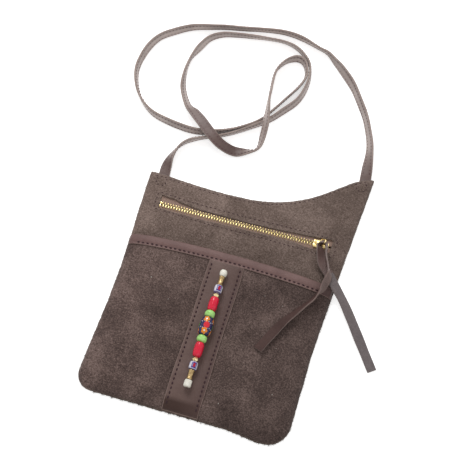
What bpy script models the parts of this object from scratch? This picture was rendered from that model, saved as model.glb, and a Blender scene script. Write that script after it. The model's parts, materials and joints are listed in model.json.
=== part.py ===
"""Suede crossbody pouch, lying on its back panel with the strap laid out above it.

Metres, +Z up. The origin is on the floor at the middle of the back panel,
+X runs to the wearer's right along the zip and +Y up the bag to the strap.
"""
import math

import bmesh
import bpy
from mathutils import Matrix, Vector
from mathutils.geometry import interpolate_bezier

# Leather sheets and the gaps between sewn layers
SUEDE = 0.0013
SMOOTH_LEATHER = 0.0009
STRIP_LEATHER = 0.0011
LAYER_GAP = 0.0003

# Outline of the bag
BAG_WIDTH = 0.192
BAG_HEIGHT = 0.218
SWOOP_RISE = 0.0496
TOP_DIP = 0.0030
LEFT_WAIST = 0.0035
RIGHT_LEAN = 0.0115
LEFT_CORNER_RADIUS = 0.014
RIGHT_CORNER_RADIUS = 0.020
CORNER_DROOP = 0.0034

# How far the walls stand off each other
EDGE_ROLL = 0.010
ZIP_PUFF = 0.0032
LOWER_PUFF = 0.0013
PUFF_STEP_FROM = 0.046
PUFF_STEP_TO = 0.064

# Patch pocket
MOUTH_SIDE_Y = 0.0388
MOUTH_BOW = 0.0046
MOUTH_LIFT_FROM = 0.028
MOUTH_LIFT_TO = 0.011
POCKET_ROLL = 0.030
POCKET_PUFF = 0.0055
BINDING_DEPTH = 0.0088
BINDING_GAP = 0.00025
STRIP_WIDTH = 0.0314

# Zip: a line across the bag that slopes a little, and a metal chain on it
ZIP_Y = 0.0792
ZIP_SLOPE = math.radians(0.7)
TAPE_GAP = 0.0003
TAPE_THICKNESS = 0.0006
TAPE_WIDTH = 0.0125
TAPE_LEFT = -0.083
TAPE_RIGHT = 0.091
WINDOW_LEFT = -0.0790
WINDOW_RIGHT = 0.0860
CHAIN_LEFT = -0.0759
CHAIN_WIDTH = 0.0058
TOOTH_PITCH = 0.0026
TOOTH_CLEARANCE = 0.00015
TOOTH_HEIGHT = 0.0027
TOOTH_MESH = 0.0007
TOOTH_PAIRS = 58
TAPE_CORD_RADIUS = 0.0008
STOP_FIT = 0.00015

# Cut edges of the window, as x along the zip and distance from the chain's middle, in millimetres
WINDOW_TOP_MM = ((-79, 7.1), (-60, 5.4), (-32, 4.6), (0, 4.7), (40, 5.1), (66, 6.2), (86, 7.4))
WINDOW_LOW_MM = ((-79, 5.2), (-60, 5.6), (-38, 6.1), (0, 5.2), (45, 4.6), (66, 6.8), (86, 6.8))

# Slider and its pull
SLIDER_LENGTH = 0.0110
SLIDER_FRONT_WIDTH = 0.0084
SLIDER_PLATE = 0.0009
SLIDER_CLEARANCE = 0.0003
FLANGE_WALL = 0.0006
SLIDER_REAR_WIDTH = CHAIN_WIDTH + 2 * (SLIDER_CLEARANCE + FLANGE_WALL)
WEDGE_LENGTH = 0.0042
WEDGE_WIDTH = 0.0015
BRIDGE_WIDTH = 0.0022
BRIDGE_THICKNESS = 0.0009
BRIDGE_SPAN = 0.0070
STOP_LENGTH = 0.0030
BOTTOM_STOP_LENGTH = 0.0018
STOP_GAP = 0.0003
RING_WIRE = 0.0013
RING_BASE = 0.0106
RING_HEIGHT = 0.0118
RING_CORNER = 0.0018
RING_LEAN = math.radians(25)
RING_SHIFT = 0.0014
THONG_WIDTH = 0.0086
THONG_THICKNESS = 0.0016
THONG_GATHERED = 0.0038
THONG_GATHER_REACH = 0.009
THONG_RISE = 0.0044

# Bead string
BEAD_MIDDLE_Y = -0.0304
BEAD_GAP = 0.00025
CORD_RADIUS = 0.00045
BORE_CLEARANCE = 0.0002
BORE_RADIUS = CORD_RADIUS + BORE_CLEARANCE
WHITE_BEAD = (0.0068, 0.0064)
TUBE_BEAD = (0.0053, 0.0090)
STRIPED_BEAD = (0.0074, 0.0070)
DIAMOND_BEAD = (0.0050, 0.0044)
RED_BEAD = (0.0084, 0.0134)
GREEN_BEAD = (0.0094, 0.0064)
PATTERNED_BEAD = (0.0120, 0.0170)

# Shoulder strap: width, thickness, and its route as x, y, z in millimetres
# with the degrees that the strap leans from standing on its edge
STRAP_WIDTH = 0.0106
STRAP_THICKNESS = 0.0020
STRAP_POINTS = 120
STRAP_ROUTE_MM = (
    (-84, 109.5, 1.6, 88), (-84.5, 118, 2.5, 75), (-83.5, 128, 4.8, 42), (-79.5, 140, 5.4, 18),
    (-72.5, 149, 5.4, 12), (-61, 155.5, 5.4, 17), (-43.5, 162.5, 5.4, 18), (-24.5, 175, 5.4, 13),
    (-7, 190.5, 5.4, 3), (5.5, 206, 5.4, -7), (14.5, 220, 5.4, -8), (18.8, 235, 5.4, -8),
    (19.2, 248.5, 5.4, -5), (16, 262, 5.4, -4), (7.5, 272.2, 5.4, -8), (-3.5, 278.5, 5.4, -13),
    (-17, 280.8, 5.4, -21), (-32, 279.7, 5.4, -20), (-46, 277.6, 5.4, -14), (-62, 275.4, 5.4, -10),
    (-75, 272, 5.4, -6), (-86.3, 264.4, 5.4, 2), (-93, 252, 5.4, 12), (-97.6, 237, 5.4, -7),
    (-98, 219.5, 5.4, 5), (-94, 202.5, 5.4, 25), (-85, 186, 6.8, 38), (-75.5, 178, 9.2, 72),
    (-65.5, 169, 12.3, 88), (-57, 161.5, 12.9, 90), (-49.5, 156, 12.6, 90), (-42.5, 152.5, 10, 90),
    (-33.5, 151, 5.6, 90), (-25.5, 152, 2.4, 84), (-14, 155, 4.6, 42), (-8.4, 158, 5.4, 26),
    (-6.3, 163.5, 5.8, 28), (-5.7, 171.5, 9.4, 36), (-5.8, 180, 13.8, 34), (-7, 188.5, 16.2, 30),
    (-8.4, 197.5, 16.4, 18), (-10.4, 208, 14, 10), (-12.1, 220, 8.4, 8), (-13.5, 230.5, 5.5, 8),
    (-14.2, 242, 5.4, 10), (-13, 250.5, 5.4, 12), (-7, 260.5, 5.4, 6), (2.7, 265.8, 5.4, -6),
    (10.5, 262.8, 5.4, -9), (14.7, 254, 5.4, -9), (15.4, 245.5, 5.4, -14), (11, 233.3, 5.4, -18),
    (2.5, 217, 5.4, -20), (-6, 201.5, 5.4, -21), (-12, 191.5, 5.4, -18), (-21.5, 182.3, 5.4, -16),
    (-40.3, 170.2, 5.4, -14), (-59, 163, 5.4, -2), (-77, 160.5, 5.4, 6), (-99, 163.7, 5.4, 6),
    (-115.5, 168.6, 5.4, 0), (-128.5, 179, 5.4, -8), (-138, 192.4, 5.4, -12), (-143.3, 206.5, 5.4, -12),
    (-144.3, 221, 5.4, -11), (-141.5, 237, 5.4, -13), (-133.6, 252, 5.4, -5), (-120.7, 262.8, 5.4, -4),
    (-104, 272.2, 5.4, 2), (-82.6, 279, 5.4, 8), (-59.8, 284.3, 5.4, 12), (-38.6, 288.3, 5.4, 14),
    (-18, 291.3, 5.4, 10), (2.3, 289, 5.4, 7), (21.4, 283.3, 5.4, 18), (30, 280.3, 5.4, 8),
    (38.8, 273.4, 5.4, -8), (46.2, 267.6, 5.3, -21), (57, 256.8, 5.2, -27), (65.4, 246.7, 5.3, -21),
    (75, 232.2, 5.3, -20), (83.2, 218.6, 5.3, -20), (89.4, 205.2, 5.3, -21), (93.4, 193.4, 5.2, -28),
    (95.8, 181, 4.7, -42), (97, 169.4, 3.1, -67), (98, 158.7, 1.8, -86),
)

# Pull thong: x, y, z in millimetres and the degrees it leans from standing on edge,
# from the tip of the left tail through the ring to the tip of the right tail
THONG_ROUTE_MM = (
    (49, -36.2, 13.9, 73), (56, -20.7, 14, 74), (64, -4.9, 14.5, 63), (69.4, 2.8, 15.2, 50),
    (77.7, 14.6, 16, 33), (82.4, 21.3, 16.5, 28), (86, 28.7, 16.9, 10), (88.4, 34, 17, -24),
    (89.9, 40.5, 17, -38), (91, 46.7, 17, -34), (90.4, 50.8, 17.3, -16), (87.3, 57.4, 17.3, -2),
    (84.1, 64.8, 16.6, -2), (82.2, 71.9, 15.2, 0), (81.2, 77.4, 13.1, 0), (79.6, 80, 12.2, 0),
    (76.7, 80.2, 12.1, 0), (75, 78.2, 12.4, 0), (74.4, 76.4, 13.1, 2), (74.8, 74.6, 13.5, 8),
    (76.8, 71, 12.9, 30), (79.2, 66, 11.8, 58), (81.6, 61, 11.6, 77), (85.6, 56, 11.4, 86),
    (90.2, 51.4, 11.3, 88), (98.2, 42.3, 11.4, 84), (109, 30.5, 10, 80), (118.8, 18.2, 7.8, 84),
    (134, -2, 4, 88), (149.6, -23, 1.5, 90),
)

# Heights that follow from the layers
FRONT_EDGE_Z = SUEDE + LAYER_GAP
TAPE_Z = FRONT_EDGE_Z + ZIP_PUFF - TAPE_GAP - TAPE_THICKNESS / 2
CHANNEL_HALF = TOOTH_HEIGHT / 2 + SLIDER_CLEARANCE
SLIDER_TOP_Z = TAPE_Z + CHANNEL_HALF + SLIDER_PLATE
RING_Z = SLIDER_TOP_Z + SLIDER_CLEARANCE + RING_WIRE / 2
TOOTH_THICKNESS = TOOTH_PITCH / 2 - TOOTH_CLEARANCE
CHAIN_RIGHT = CHAIN_LEFT + (TOOTH_PAIRS - 0.5) * TOOTH_PITCH + TOOTH_THICKNESS / 2
SLIDER_FRONT = CHAIN_RIGHT + SLIDER_CLEARANCE + WEDGE_LENGTH + FLANGE_WALL
SLIDER_X = SLIDER_FRONT - SLIDER_LENGTH / 2
TAPE_EDGE = CHAIN_WIDTH / 2 - TAPE_CORD_RADIUS - 0.0002
LOWER_Y = -BAG_HEIGHT / 2
UPPER_Y = BAG_HEIGHT / 2


def clamp(value, low, high):
    return max(low, min(high, value))


def smooth(value):
    """Smooth step from 0 to 1."""
    value = clamp(value, 0.0, 1.0)
    return value * value * (3 - 2 * value)


def roll_off(distance, reach):
    """Quarter ellipse: 0 at the seam, 1 once the wall has turned flat."""
    inward = 1 - clamp(distance / reach, 0.0, 1.0)
    return math.sqrt(1 - inward * inward)


def material(name, color, roughness, metallic=0.0):
    """A Principled material in linear colour."""
    made = bpy.data.materials.new(name)
    made.use_nodes = True
    shader = made.node_tree.nodes["Principled BSDF"]
    shader.inputs["Base Color"].default_value = (*color, 1.0)
    shader.inputs["Roughness"].default_value = roughness
    shader.inputs["Metallic"].default_value = metallic
    made.diffuse_color = (*color, 1.0)
    return made


def link_mesh(name, vertices, faces, look, angle=35):
    """A smooth-shaded mesh object whose faces point out."""
    mesh = bpy.data.meshes.new(name)
    mesh.from_pydata([tuple(v) for v in vertices], [], faces)
    shell = bmesh.new()
    shell.from_mesh(mesh)
    bmesh.ops.recalc_face_normals(shell, faces=shell.faces)
    shell.to_mesh(mesh)
    shell.free()
    mesh.shade_smooth()
    mesh.set_sharp_from_angle(angle=math.radians(angle))
    mesh.materials.append(look)
    made = bpy.data.objects.new(name, mesh)
    bpy.context.scene.collection.objects.link(made)
    return made


def loft(name, sections, look, angle=35):
    """Closed sections of equal length, bridged in turn and capped at both ends."""
    count = len(sections[0])
    vertices = [point for section in sections for point in section]
    faces = []
    for i in range(len(sections) - 1):
        for j in range(count):
            k = (j + 1) % count
            faces.append((i * count + j, i * count + k, (i + 1) * count + k, (i + 1) * count + j))
    faces.append(tuple(range(count)))
    last = (len(sections) - 1) * count
    faces.append(tuple(reversed(range(last, last + count))))
    return link_mesh(name, vertices, faces, look, angle)


def sheet(name, grid, under, thickness, look):
    """A leather sheet: rows of plan points, lifted to under(x, y) and given a thickness."""
    rows, columns = len(grid), len(grid[0])
    vertices = []
    for lift in (0.0, thickness):
        for row in grid:
            vertices += [(x, y, under(x, y) + lift) for x, y in row]
    top = rows * columns
    faces = []
    for i in range(rows - 1):
        for j in range(columns - 1):
            a, b = i * columns + j, (i + 1) * columns + j
            faces.append((a, b, b + 1, a + 1))
            faces.append((top + a, top + a + 1, top + b + 1, top + b))
    rim = [j for j in range(columns)]
    rim += [i * columns + columns - 1 for i in range(1, rows)]
    rim += [(rows - 1) * columns + j for j in range(columns - 2, -1, -1)]
    rim += [i * columns for i in range(rows - 2, 0, -1)]
    for a, b in zip(rim, rim[1:] + rim[:1]):
        faces.append((a, b, top + b, top + a))
    return link_mesh(name, vertices, faces, look)


def prism(name, outline, low, high, look):
    """A plan outline raised from low to high."""
    sections = [[(x, y, z) for x, y in outline] for z in (low, high)]
    return loft(name, sections, look)


def turned(name, profile, segments, look):
    """A closed profile of (radius, height) points turned about Z, so it keeps its bore."""
    vertices = []
    for i in range(segments):
        turn = 2 * math.pi * i / segments
        vertices += [(r * math.cos(turn), r * math.sin(turn), z) for r, z in profile]
    count = len(profile)
    faces = []
    for i in range(segments):
        here, following = i * count, ((i + 1) % segments) * count
        for j in range(count):
            k = (j + 1) % count
            faces.append((here + j, here + k, following + k, following + j))
    return link_mesh(name, vertices, faces, look, angle=50)


def combine(base, tool, operation):
    """Boolean with a tool that stays in the file as a hidden wire guide."""
    cut = base.modifiers.new(operation.lower() + "_" + tool.name, "BOOLEAN")
    cut.object = tool
    cut.operation = operation
    cut.solver = "EXACT"
    tool.hide_render = True
    tool.display_type = "WIRE"


# Outline of the bag

def bezier_table(spans, steps=12):
    """x, y points along plan Bezier spans, each given as four (x, y) pairs."""
    points = []
    for a, ha, hb, b in spans:
        points += interpolate_bezier(*(Vector((x, y, 0.0)) for x, y in (a, ha, hb, b)), steps)
    return [(p.x, p.y) for p in points]


TOP_EDGE = bezier_table((
    ((-0.100, UPPER_Y), (-0.072, UPPER_Y), (-0.040, UPPER_Y - 1.5 * TOP_DIP), (-0.010, UPPER_Y - 0.9 * TOP_DIP)),
    ((-0.010, UPPER_Y - 0.9 * TOP_DIP), (0.065, UPPER_Y - TOP_DIP / 3),
     (0.075, UPPER_Y + SWOOP_RISE - 0.004), (0.108, UPPER_Y + SWOOP_RISE)),
))


def top_y(x):
    """Height of the top edge, which swoops up to the right-hand strap."""
    for (x0, y0), (x1, y1) in zip(TOP_EDGE, TOP_EDGE[1:]):
        if x <= x1 and x1 > x0:
            return y0 + (y1 - y0) * (x - x0) / (x1 - x0)
    return TOP_EDGE[-1][1]


def bottom_y(x):
    """Height of the bottom edge, whose right-hand corner droops."""
    return LOWER_Y - CORNER_DROOP * smooth((x - 0.040) / 0.032)


def corner_inset(rise, radius):
    """How far a round bottom corner draws the side in, this high above the bottom edge."""
    rise = clamp(rise, 0.0, radius)
    return radius - math.sqrt(radius ** 2 - (radius - rise) ** 2)


def left_x(y):
    wave = math.sin(math.pi * clamp((y - LOWER_Y) / BAG_HEIGHT, 0.0, 1.0)) ** 2
    return -BAG_WIDTH / 2 + LEFT_WAIST * wave + corner_inset(y - LOWER_Y, LEFT_CORNER_RADIUS)


def right_x(y):
    lean = clamp((y + 0.030) / (BAG_HEIGHT / 2 + SWOOP_RISE + 0.030), 0.0, 1.0) ** 1.2
    inset = corner_inset(y - LOWER_Y + CORNER_DROOP, RIGHT_CORNER_RADIUS)
    return BAG_WIDTH / 2 - 0.0015 + RIGHT_LEAN * lean - inset


def plan_point(across, row):
    """A point of the outline's inside. Rows 0 to 1 are level lines up to the split, and rows
    1 to 2 spread from there to the swooping top edge."""
    y = LOWER_Y + (SPLIT_Y - LOWER_Y) * min(row, 1.0)
    rise = max(row - 1.0, 0.0)
    side0 = left_x(y + rise * (UPPER_Y - SPLIT_Y))
    side1 = right_x(y + rise * (UPPER_Y + SWOOP_RISE - SPLIT_Y))
    x = side0 + (side1 - side0) * across
    low = smooth(1 - row / 0.4)
    return x, y + rise * (top_y(x) - SPLIT_Y) + low * (bottom_y(x) - LOWER_Y)


def column_shares(spacing):
    """Fractions 0 to 1 across the bag, close together at both sides."""
    ends = [step / BAG_WIDTH for step in EDGE_STEPS]
    count = round((1 - 2 * ends[-1]) * BAG_WIDTH / spacing)
    inner = [ends[-1] + (1 - 2 * ends[-1]) * i / count for i in range(1, count)]
    return ends + inner + [1 - value for value in reversed(ends)]


def level_rows(levels):
    return [(y - LOWER_Y) / (SPLIT_Y - LOWER_Y) for y in levels]


SPLIT_Y = UPPER_Y - 0.017
EDGE_STEPS = (0.0, 0.0015, 0.004, 0.008, 0.013)
ACROSS = column_shares(0.024)
LOWER_ROWS = level_rows([LOWER_Y + step for step in EDGE_STEPS + (0.020, 0.038, 0.056, 0.074, 0.092)])
MIDDLE_ROWS = level_rows([0.001, 0.018, 0.034, PUFF_STEP_FROM, 0.052, 0.057, PUFF_STEP_TO - 0.002, 0.077])
SWOOP_ROWS = [1.0, 1.3, 1.58, 1.78, 1.91, 1.97, 2.0]
ROWS = LOWER_ROWS + MIDDLE_ROWS + SWOOP_ROWS


def side_distance(x, y):
    return min(x - left_x(y), right_x(y) - x)


def front_under(x, y):
    """Underside of the front panel: on the seam at the edges, puffed off the back panel inside."""
    puff = LOWER_PUFF + (ZIP_PUFF - LOWER_PUFF) * smooth(
        (y - PUFF_STEP_FROM) / (PUFF_STEP_TO - PUFF_STEP_FROM))
    inside = roll_off(side_distance(x, y), EDGE_ROLL)
    inside *= roll_off(y - bottom_y(x), EDGE_ROLL) * roll_off(top_y(x) - y, EDGE_ROLL)
    return FRONT_EDGE_Z + puff * inside


def mouth_y(x):
    """The cut edge of the patch pocket, bowed up in the middle."""
    return MOUTH_SIDE_Y + MOUTH_BOW * (1 - (2 * x / BAG_WIDTH) ** 2)


def pocket_under(x, y):
    """Underside of the patch pocket, which stands off the front panel towards its mouth and
    is lifted there by the binding's inner leg."""
    inside = roll_off(side_distance(x, y), POCKET_ROLL) * roll_off(y - bottom_y(x), POCKET_ROLL)
    depth = mouth_y(x) - y
    lift = smooth((MOUTH_LIFT_FROM - depth) / (MOUTH_LIFT_FROM - MOUTH_LIFT_TO))
    lift *= SMOOTH_LEATHER + BINDING_GAP
    return front_under(x, y) + SUEDE + LAYER_GAP + lift + POCKET_PUFF * inside


def pocket_top(x, y):
    return pocket_under(x, y) + SUEDE


def strip_top(x, y):
    return pocket_top(x, y) + LAYER_GAP + STRIP_LEATHER


def smooth_edge(edge_mm, steps=3):
    """The cut edge in metres, eased between its points."""
    points = []
    for (x0, y0), (x1, y1) in zip(edge_mm, edge_mm[1:]):
        for i in range(steps):
            share = i / steps
            points.append((x0 + (x1 - x0) * share, y0 + (y1 - y0) * smooth(share)))
    points.append(edge_mm[-1])
    return [(x / 1000, y / 1000) for x, y in points]


# Leather pieces

def back_panel(look):
    """Flat on the floor, with the whole outline of the bag."""
    outline = [plan_point(across, 0.0) for across in ACROSS]
    outline += [plan_point(1.0, row) for row in ROWS[1:]]
    outline += [plan_point(across, 2.0) for across in reversed(ACROSS[:-1])]
    outline += [plan_point(0.0, row) for row in reversed(ROWS[1:-1])]
    return prism("back_panel", outline, 0.0, SUEDE, look)


def front_panel(look, zip_line):
    grid = [[plan_point(across, row) for across in ACROSS] for row in ROWS]
    panel = sheet("front_panel", grid, front_under, SUEDE, look)
    outline = [(x, y) for x, y in smooth_edge(WINDOW_TOP_MM)]
    outline += [(x, -y) for x, y in reversed(smooth_edge(WINDOW_LOW_MM))]
    window = prism("zip_window_cutter", outline, -0.004, 0.006, look)
    window.parent = zip_line
    combine(panel, window, "DIFFERENCE")
    return panel


def mouth_line(depth):
    """A row of the pocket at this depth below its cut edge."""
    side0, side1 = left_x(MOUTH_SIDE_Y - depth), right_x(MOUTH_SIDE_Y - depth)
    across = [side0 + (side1 - side0) * share for share in ACROSS]
    return [(x, mouth_y(x) - depth) for x in across]


def pocket_rows():
    """Rows from the bottom of the bag to the pocket's mouth."""
    grid = [[plan_point(across, row) for across in ACROSS] for row in LOWER_ROWS]
    return grid + [mouth_line(depth) for depth in (MOUTH_LIFT_FROM, 0.019, MOUTH_LIFT_TO, BINDING_DEPTH, 0.0)]


def pocket_panel(look):
    return sheet("pocket_panel", pocket_rows(), pocket_under, SUEDE, look)


def pocket_binding(look):
    """Smooth leather folded over the pocket's mouth, with a leg on each side of the suede."""
    sections = []
    reach = SMOOTH_LEATHER
    for (x, edge), (low_x, low_y) in zip(mouth_line(0.0), mouth_line(BINDING_DEPTH)):
        inner = pocket_under(x, edge) - BINDING_GAP
        outer = pocket_top(x, edge) + BINDING_GAP
        inner_low = pocket_under(low_x, low_y) - BINDING_GAP
        outer_low = pocket_top(low_x, low_y) + BINDING_GAP
        fold = edge + BINDING_GAP
        sections.append([
            (low_x, low_y, outer_low), (x, fold, outer),
            (x, fold, inner), (low_x, low_y, inner_low),
            (low_x, low_y, inner_low - reach), (x, fold, inner - reach),
            (x, fold + 0.8 * reach, inner - 0.4 * reach), (x, fold + reach, (inner + outer) / 2),
            (x, fold + 0.8 * reach, outer + 0.4 * reach), (x, fold, outer + reach),
            (low_x, low_y, outer_low + reach),
        ])
    return loft("pocket_binding", sections, look)


def centre_strip(look):
    """Smooth leather band down the middle of the pocket, from the binding to the bottom seam."""
    half = STRIP_WIDTH / 2
    across = [-half, -half / 2, 0.0, half / 2, half]
    rows = [[(x, plan_point(0.5, row)[1]) for x in across] for row in LOWER_ROWS[1:]]
    for depth in (MOUTH_LIFT_FROM, 0.019, MOUTH_LIFT_TO, BINDING_DEPTH + LAYER_GAP):
        rows.append([(x, mouth_y(x) - depth) for x in across])
    return sheet("centre_strip", rows, lambda x, y: pocket_top(x, y) + LAYER_GAP, STRIP_LEATHER, look)


# Zip, in the frame of the zip_line empty: x along the chain, y across it, z from the tape's middle

def tape_half(name, side, look):
    """One tape with its corded edge and its row of teeth; side is 1 above the chain, -1 below."""
    half = TAPE_THICKNESS / 2
    outer = TAPE_EDGE + TAPE_WIDTH
    outline = [(TAPE_LEFT, side * TAPE_EDGE), (TAPE_RIGHT, side * TAPE_EDGE),
               (TAPE_RIGHT, side * outer), (TAPE_LEFT, side * outer)]
    tape = prism(name, outline, -half, half, look)
    ring = [(side * TAPE_EDGE + TAPE_CORD_RADIUS * math.cos(math.pi * i / 3),
             TAPE_CORD_RADIUS * math.sin(math.pi * i / 3)) for i in range(6)]
    ends = (WINDOW_LEFT + LAYER_GAP, WINDOW_RIGHT - LAYER_GAP)
    cord = loft(name + "_cord", [[(x, y, z) for y, z in ring] for x in ends], look)
    teeth = tooth_row(name + "_teeth", side, look)
    combine(tape, cord, "UNION")
    combine(tape, teeth, "UNION")
    return tape, (cord, teeth)


def tooth_row(name, side, look):
    """Teeth clamped on the cord: a block round the cord, waisted, with a round head past the middle."""
    root, neck, tip = CHAIN_WIDTH / 2, 0.0006, -TOOTH_MESH
    high = TOOTH_HEIGHT / 2
    stations = ((root, 0.62 * high, 0.80), (root - 0.0006, high, 1.0), (neck, high, 1.0),
                (tip, 0.7 * high, 0.7))
    vertices, faces = [], []
    for number in range(TOOTH_PAIRS):
        middle = CHAIN_LEFT + number * TOOTH_PITCH + (0.0 if side > 0 else TOOTH_PITCH / 2)
        base = len(vertices)
        for y, z, share in stations:
            half = TOOTH_THICKNESS / 2 * share
            vertices += [(middle - half, side * y, -z), (middle + half, side * y, -z),
                         (middle + half, side * y, z), (middle - half, side * y, z)]
        for i in range(len(stations) - 1):
            for j in range(4):
                k = (j + 1) % 4
                near, far = base + 4 * i, base + 4 * i + 4
                faces.append((near + j, near + k, far + k, far + j))
        end = base + 4 * (len(stations) - 1)
        faces += [(base, base + 1, base + 2, base + 3), (end + 3, end + 2, end + 1, end)]
    return link_mesh(name, vertices, faces, look)


def keyhole(side):
    """Section of the room that a stop leaves for the tape and its corded edge, from below."""
    radius = TAPE_CORD_RADIUS + STOP_FIT
    slit = TAPE_THICKNESS / 2 + STOP_FIT
    mouth = math.asin(slit / radius)
    points = [(side * CHAIN_WIDTH / 2, -slit)]
    for i in range(9):
        turn = -mouth - (2 * math.pi - 2 * mouth) * i / 8
        points.append((side * (TAPE_EDGE + radius * math.cos(turn)), radius * math.sin(turn)))
    return points + [(side * CHAIN_WIDTH / 2, slit)]


def top_stop(name, side, look):
    """Brass clamp round one tape's edge, just past the slider."""
    x0 = SLIDER_FRONT + STOP_GAP
    outer, high = side * CHAIN_WIDTH / 2, TOOTH_HEIGHT / 2
    section = keyhole(side) + [(outer, high), (side * 0.0002, high), (side * 0.0002, -high), (outer, -high)]
    return loft(name, [[(x, y, z) for y, z in section] for x in (x0, x0 + STOP_LENGTH)], look)


def bottom_stop(look):
    """Brass clamp that joins both tapes' edges at the left end of the chain."""
    x1 = CHAIN_LEFT - TOOTH_THICKNESS / 2 - STOP_GAP
    outer, high = CHAIN_WIDTH / 2, TOOTH_HEIGHT / 2
    section = keyhole(1) + [(outer, high), (-outer, high)]
    section += list(reversed(keyhole(-1))) + [(-outer, -high), (outer, -high)]
    ends = (x1 - BOTTOM_STOP_LENGTH, x1)
    return loft("zip_bottom_stop", [[(x, y, z) for y, z in section] for x in ends], look)


def slider_body(look, zip_line):
    """Two plates joined by the wedge between the tapes, flanged sides, and a bridge for the ring."""
    rear, front = SLIDER_FRONT - SLIDER_LENGTH, SLIDER_FRONT
    half_rear, half_front = SLIDER_REAR_WIDTH / 2, SLIDER_FRONT_WIDTH / 2
    outline = []
    for x, y in ((rear, 0.55 * half_rear), (rear + 0.0006, half_rear), (rear + 0.0035, half_rear),
                 (SLIDER_X + 0.001, half_front), (front - 0.0025, half_front),
                 (front - 0.0006, 0.80 * half_front), (front, 0.50 * half_front)):
        outline.append((x, y))
    outline += [(x, -y) for x, y in reversed(outline)]
    body = prism("slider", outline, CHANNEL_HALF, CHANNEL_HALF + SLIDER_PLATE, look)
    parts = [prism("slider_lower_plate", outline, -CHANNEL_HALF - SLIDER_PLATE, -CHANNEL_HALF, look)]
    slit = TAPE_THICKNESS / 2 + SLIDER_CLEARANCE
    embed = SLIDER_PLATE / 2
    for side in (1, -1):
        flange = [(rear + 0.0008, side * half_rear), (rear + 0.0035, side * half_rear),
                  (SLIDER_X + 0.001, side * half_front), (front - 0.0028, side * half_front)]
        flange += [(x, y - side * FLANGE_WALL) for x, y in reversed(flange)]
        parts.append(prism("slider_upper_flange", flange, slit, CHANNEL_HALF + embed, look))
        parts.append(prism("slider_lower_flange", flange, -CHANNEL_HALF - embed, -slit, look))
    point = CHAIN_RIGHT + SLIDER_CLEARANCE
    wide, blunt = point + 0.4 * WEDGE_LENGTH, point + WEDGE_LENGTH
    wedge = [(point, 0.0), (wide, -WEDGE_WIDTH / 2), (blunt, -0.3 * WEDGE_WIDTH),
             (blunt, 0.3 * WEDGE_WIDTH), (wide, WEDGE_WIDTH / 2)]
    parts.append(prism("slider_wedge", wedge, -CHANNEL_HALF - embed, CHANNEL_HALF + embed, look))
    parts.append(slider_bridge(look))
    for part in parts:
        combine(body, part, "UNION")
    for made in [body] + parts:
        made.parent = zip_line
    return body


def slider_bridge(look):
    """An arch along the slider that the ring's base wire passes under."""
    clear = RING_WIRE + 2 * SLIDER_CLEARANCE
    foot = CHANNEL_HALF + SLIDER_PLATE / 2
    top = CHANNEL_HALF + SLIDER_PLATE + clear
    half = BRIDGE_SPAN / 2
    inner = [(-half + BRIDGE_THICKNESS, foot), (-half + BRIDGE_THICKNESS, top - 0.0008),
             (-half + BRIDGE_THICKNESS + 0.0008, top), (half - BRIDGE_THICKNESS - 0.0008, top),
             (half - BRIDGE_THICKNESS, top - 0.0008), (half - BRIDGE_THICKNESS, foot)]
    outer = [(half, foot), (half, top - 0.0004), (half - 0.0013, top + BRIDGE_THICKNESS),
             (-half + 0.0013, top + BRIDGE_THICKNESS), (-half, top - 0.0004), (-half, foot)]
    sides = (-BRIDGE_WIDTH / 2, BRIDGE_WIDTH / 2)
    sections = [[(SLIDER_X + x, y, z) for x, z in inner + outer] for y in sides]
    return loft("slider_bridge", sections, look)


def round_corners(corners, radius, steps=4):
    """A closed plan polygon with each corner turned by an arc of straight steps."""
    outline = []
    count = len(corners)
    for i, corner in enumerate(corners):
        here = Vector(corner)
        back = (Vector(corners[i - 1]) - here).normalized()
        ahead = (Vector(corners[(i + 1) % count]) - here).normalized()
        reach = radius / math.tan(back.angle(ahead) / 2)
        start, end = here + back * reach, here + ahead * reach
        for j in range(steps + 1):
            share = j / steps
            outline.append(start.lerp(here, share).lerp(here.lerp(end, share), share))
    return outline


def pull_ring(look, zip_line):
    """Triangular wire ring whose base turns under the bridge, so its origin is on the base wire."""
    base, high = RING_BASE / 2, RING_HEIGHT
    outline = round_corners([(-base, 0.0), (base, 0.0), (0.0, high)], RING_CORNER)
    curve = bpy.data.curves.new("pull_ring", "CURVE")
    curve.dimensions = "3D"
    curve.bevel_depth = RING_WIRE / 2
    curve.bevel_resolution = 2
    spline = curve.splines.new("POLY")
    spline.points.add(len(outline) - 1)
    spline.use_cyclic_u = True
    for point, (across, up) in zip(spline.points, outline):
        point.co = (0.0, across, up, 1.0)
    curve.materials.append(look)
    ring = bpy.data.objects.new("pull_ring", curve)
    bpy.context.scene.collection.objects.link(ring)
    ring.parent = zip_line
    ring.location = (SLIDER_X + RING_SHIFT, 0.0, RING_Z - TAPE_Z)
    ring.rotation_euler = (0.0, RING_LEAN, 0.0)
    return ring


# Soft lines: the thong and the strap

def smooth_route(route_mm, count):
    """count evenly spaced points, in metres, on a Catmull-Rom curve through the route."""
    knots = [Vector(point) for point in route_mm]
    knots = [2 * knots[0] - knots[1]] + knots + [2 * knots[-1] - knots[-2]]
    fine = []
    for p0, p1, p2, p3 in zip(knots, knots[1:], knots[2:], knots[3:]):
        for i in range(12):
            t = i / 12
            fine.append(0.5 * ((2 * p1) + (p2 - p0) * t + (2 * p0 - 5 * p1 + 4 * p2 - p3) * t ** 2
                               + (3 * p1 - p0 - 3 * p2 + p3) * t ** 3))
    fine.append(knots[-2])
    walked = [0.0]
    for a, b in zip(fine, fine[1:]):
        walked.append(walked[-1] + (b.xyz - a.xyz).length)
    points, j = [], 0
    for i in range(count):
        goal = walked[-1] * i / (count - 1)
        while j < len(fine) - 2 and walked[j + 1] < goal:
            j += 1
        share = clamp((goal - walked[j]) / (walked[j + 1] - walked[j]), 0.0, 1.0)
        point = fine[j].lerp(fine[j + 1], share)
        points.append((point.xyz / 1000, math.radians(point.w)))
    return points


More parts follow.
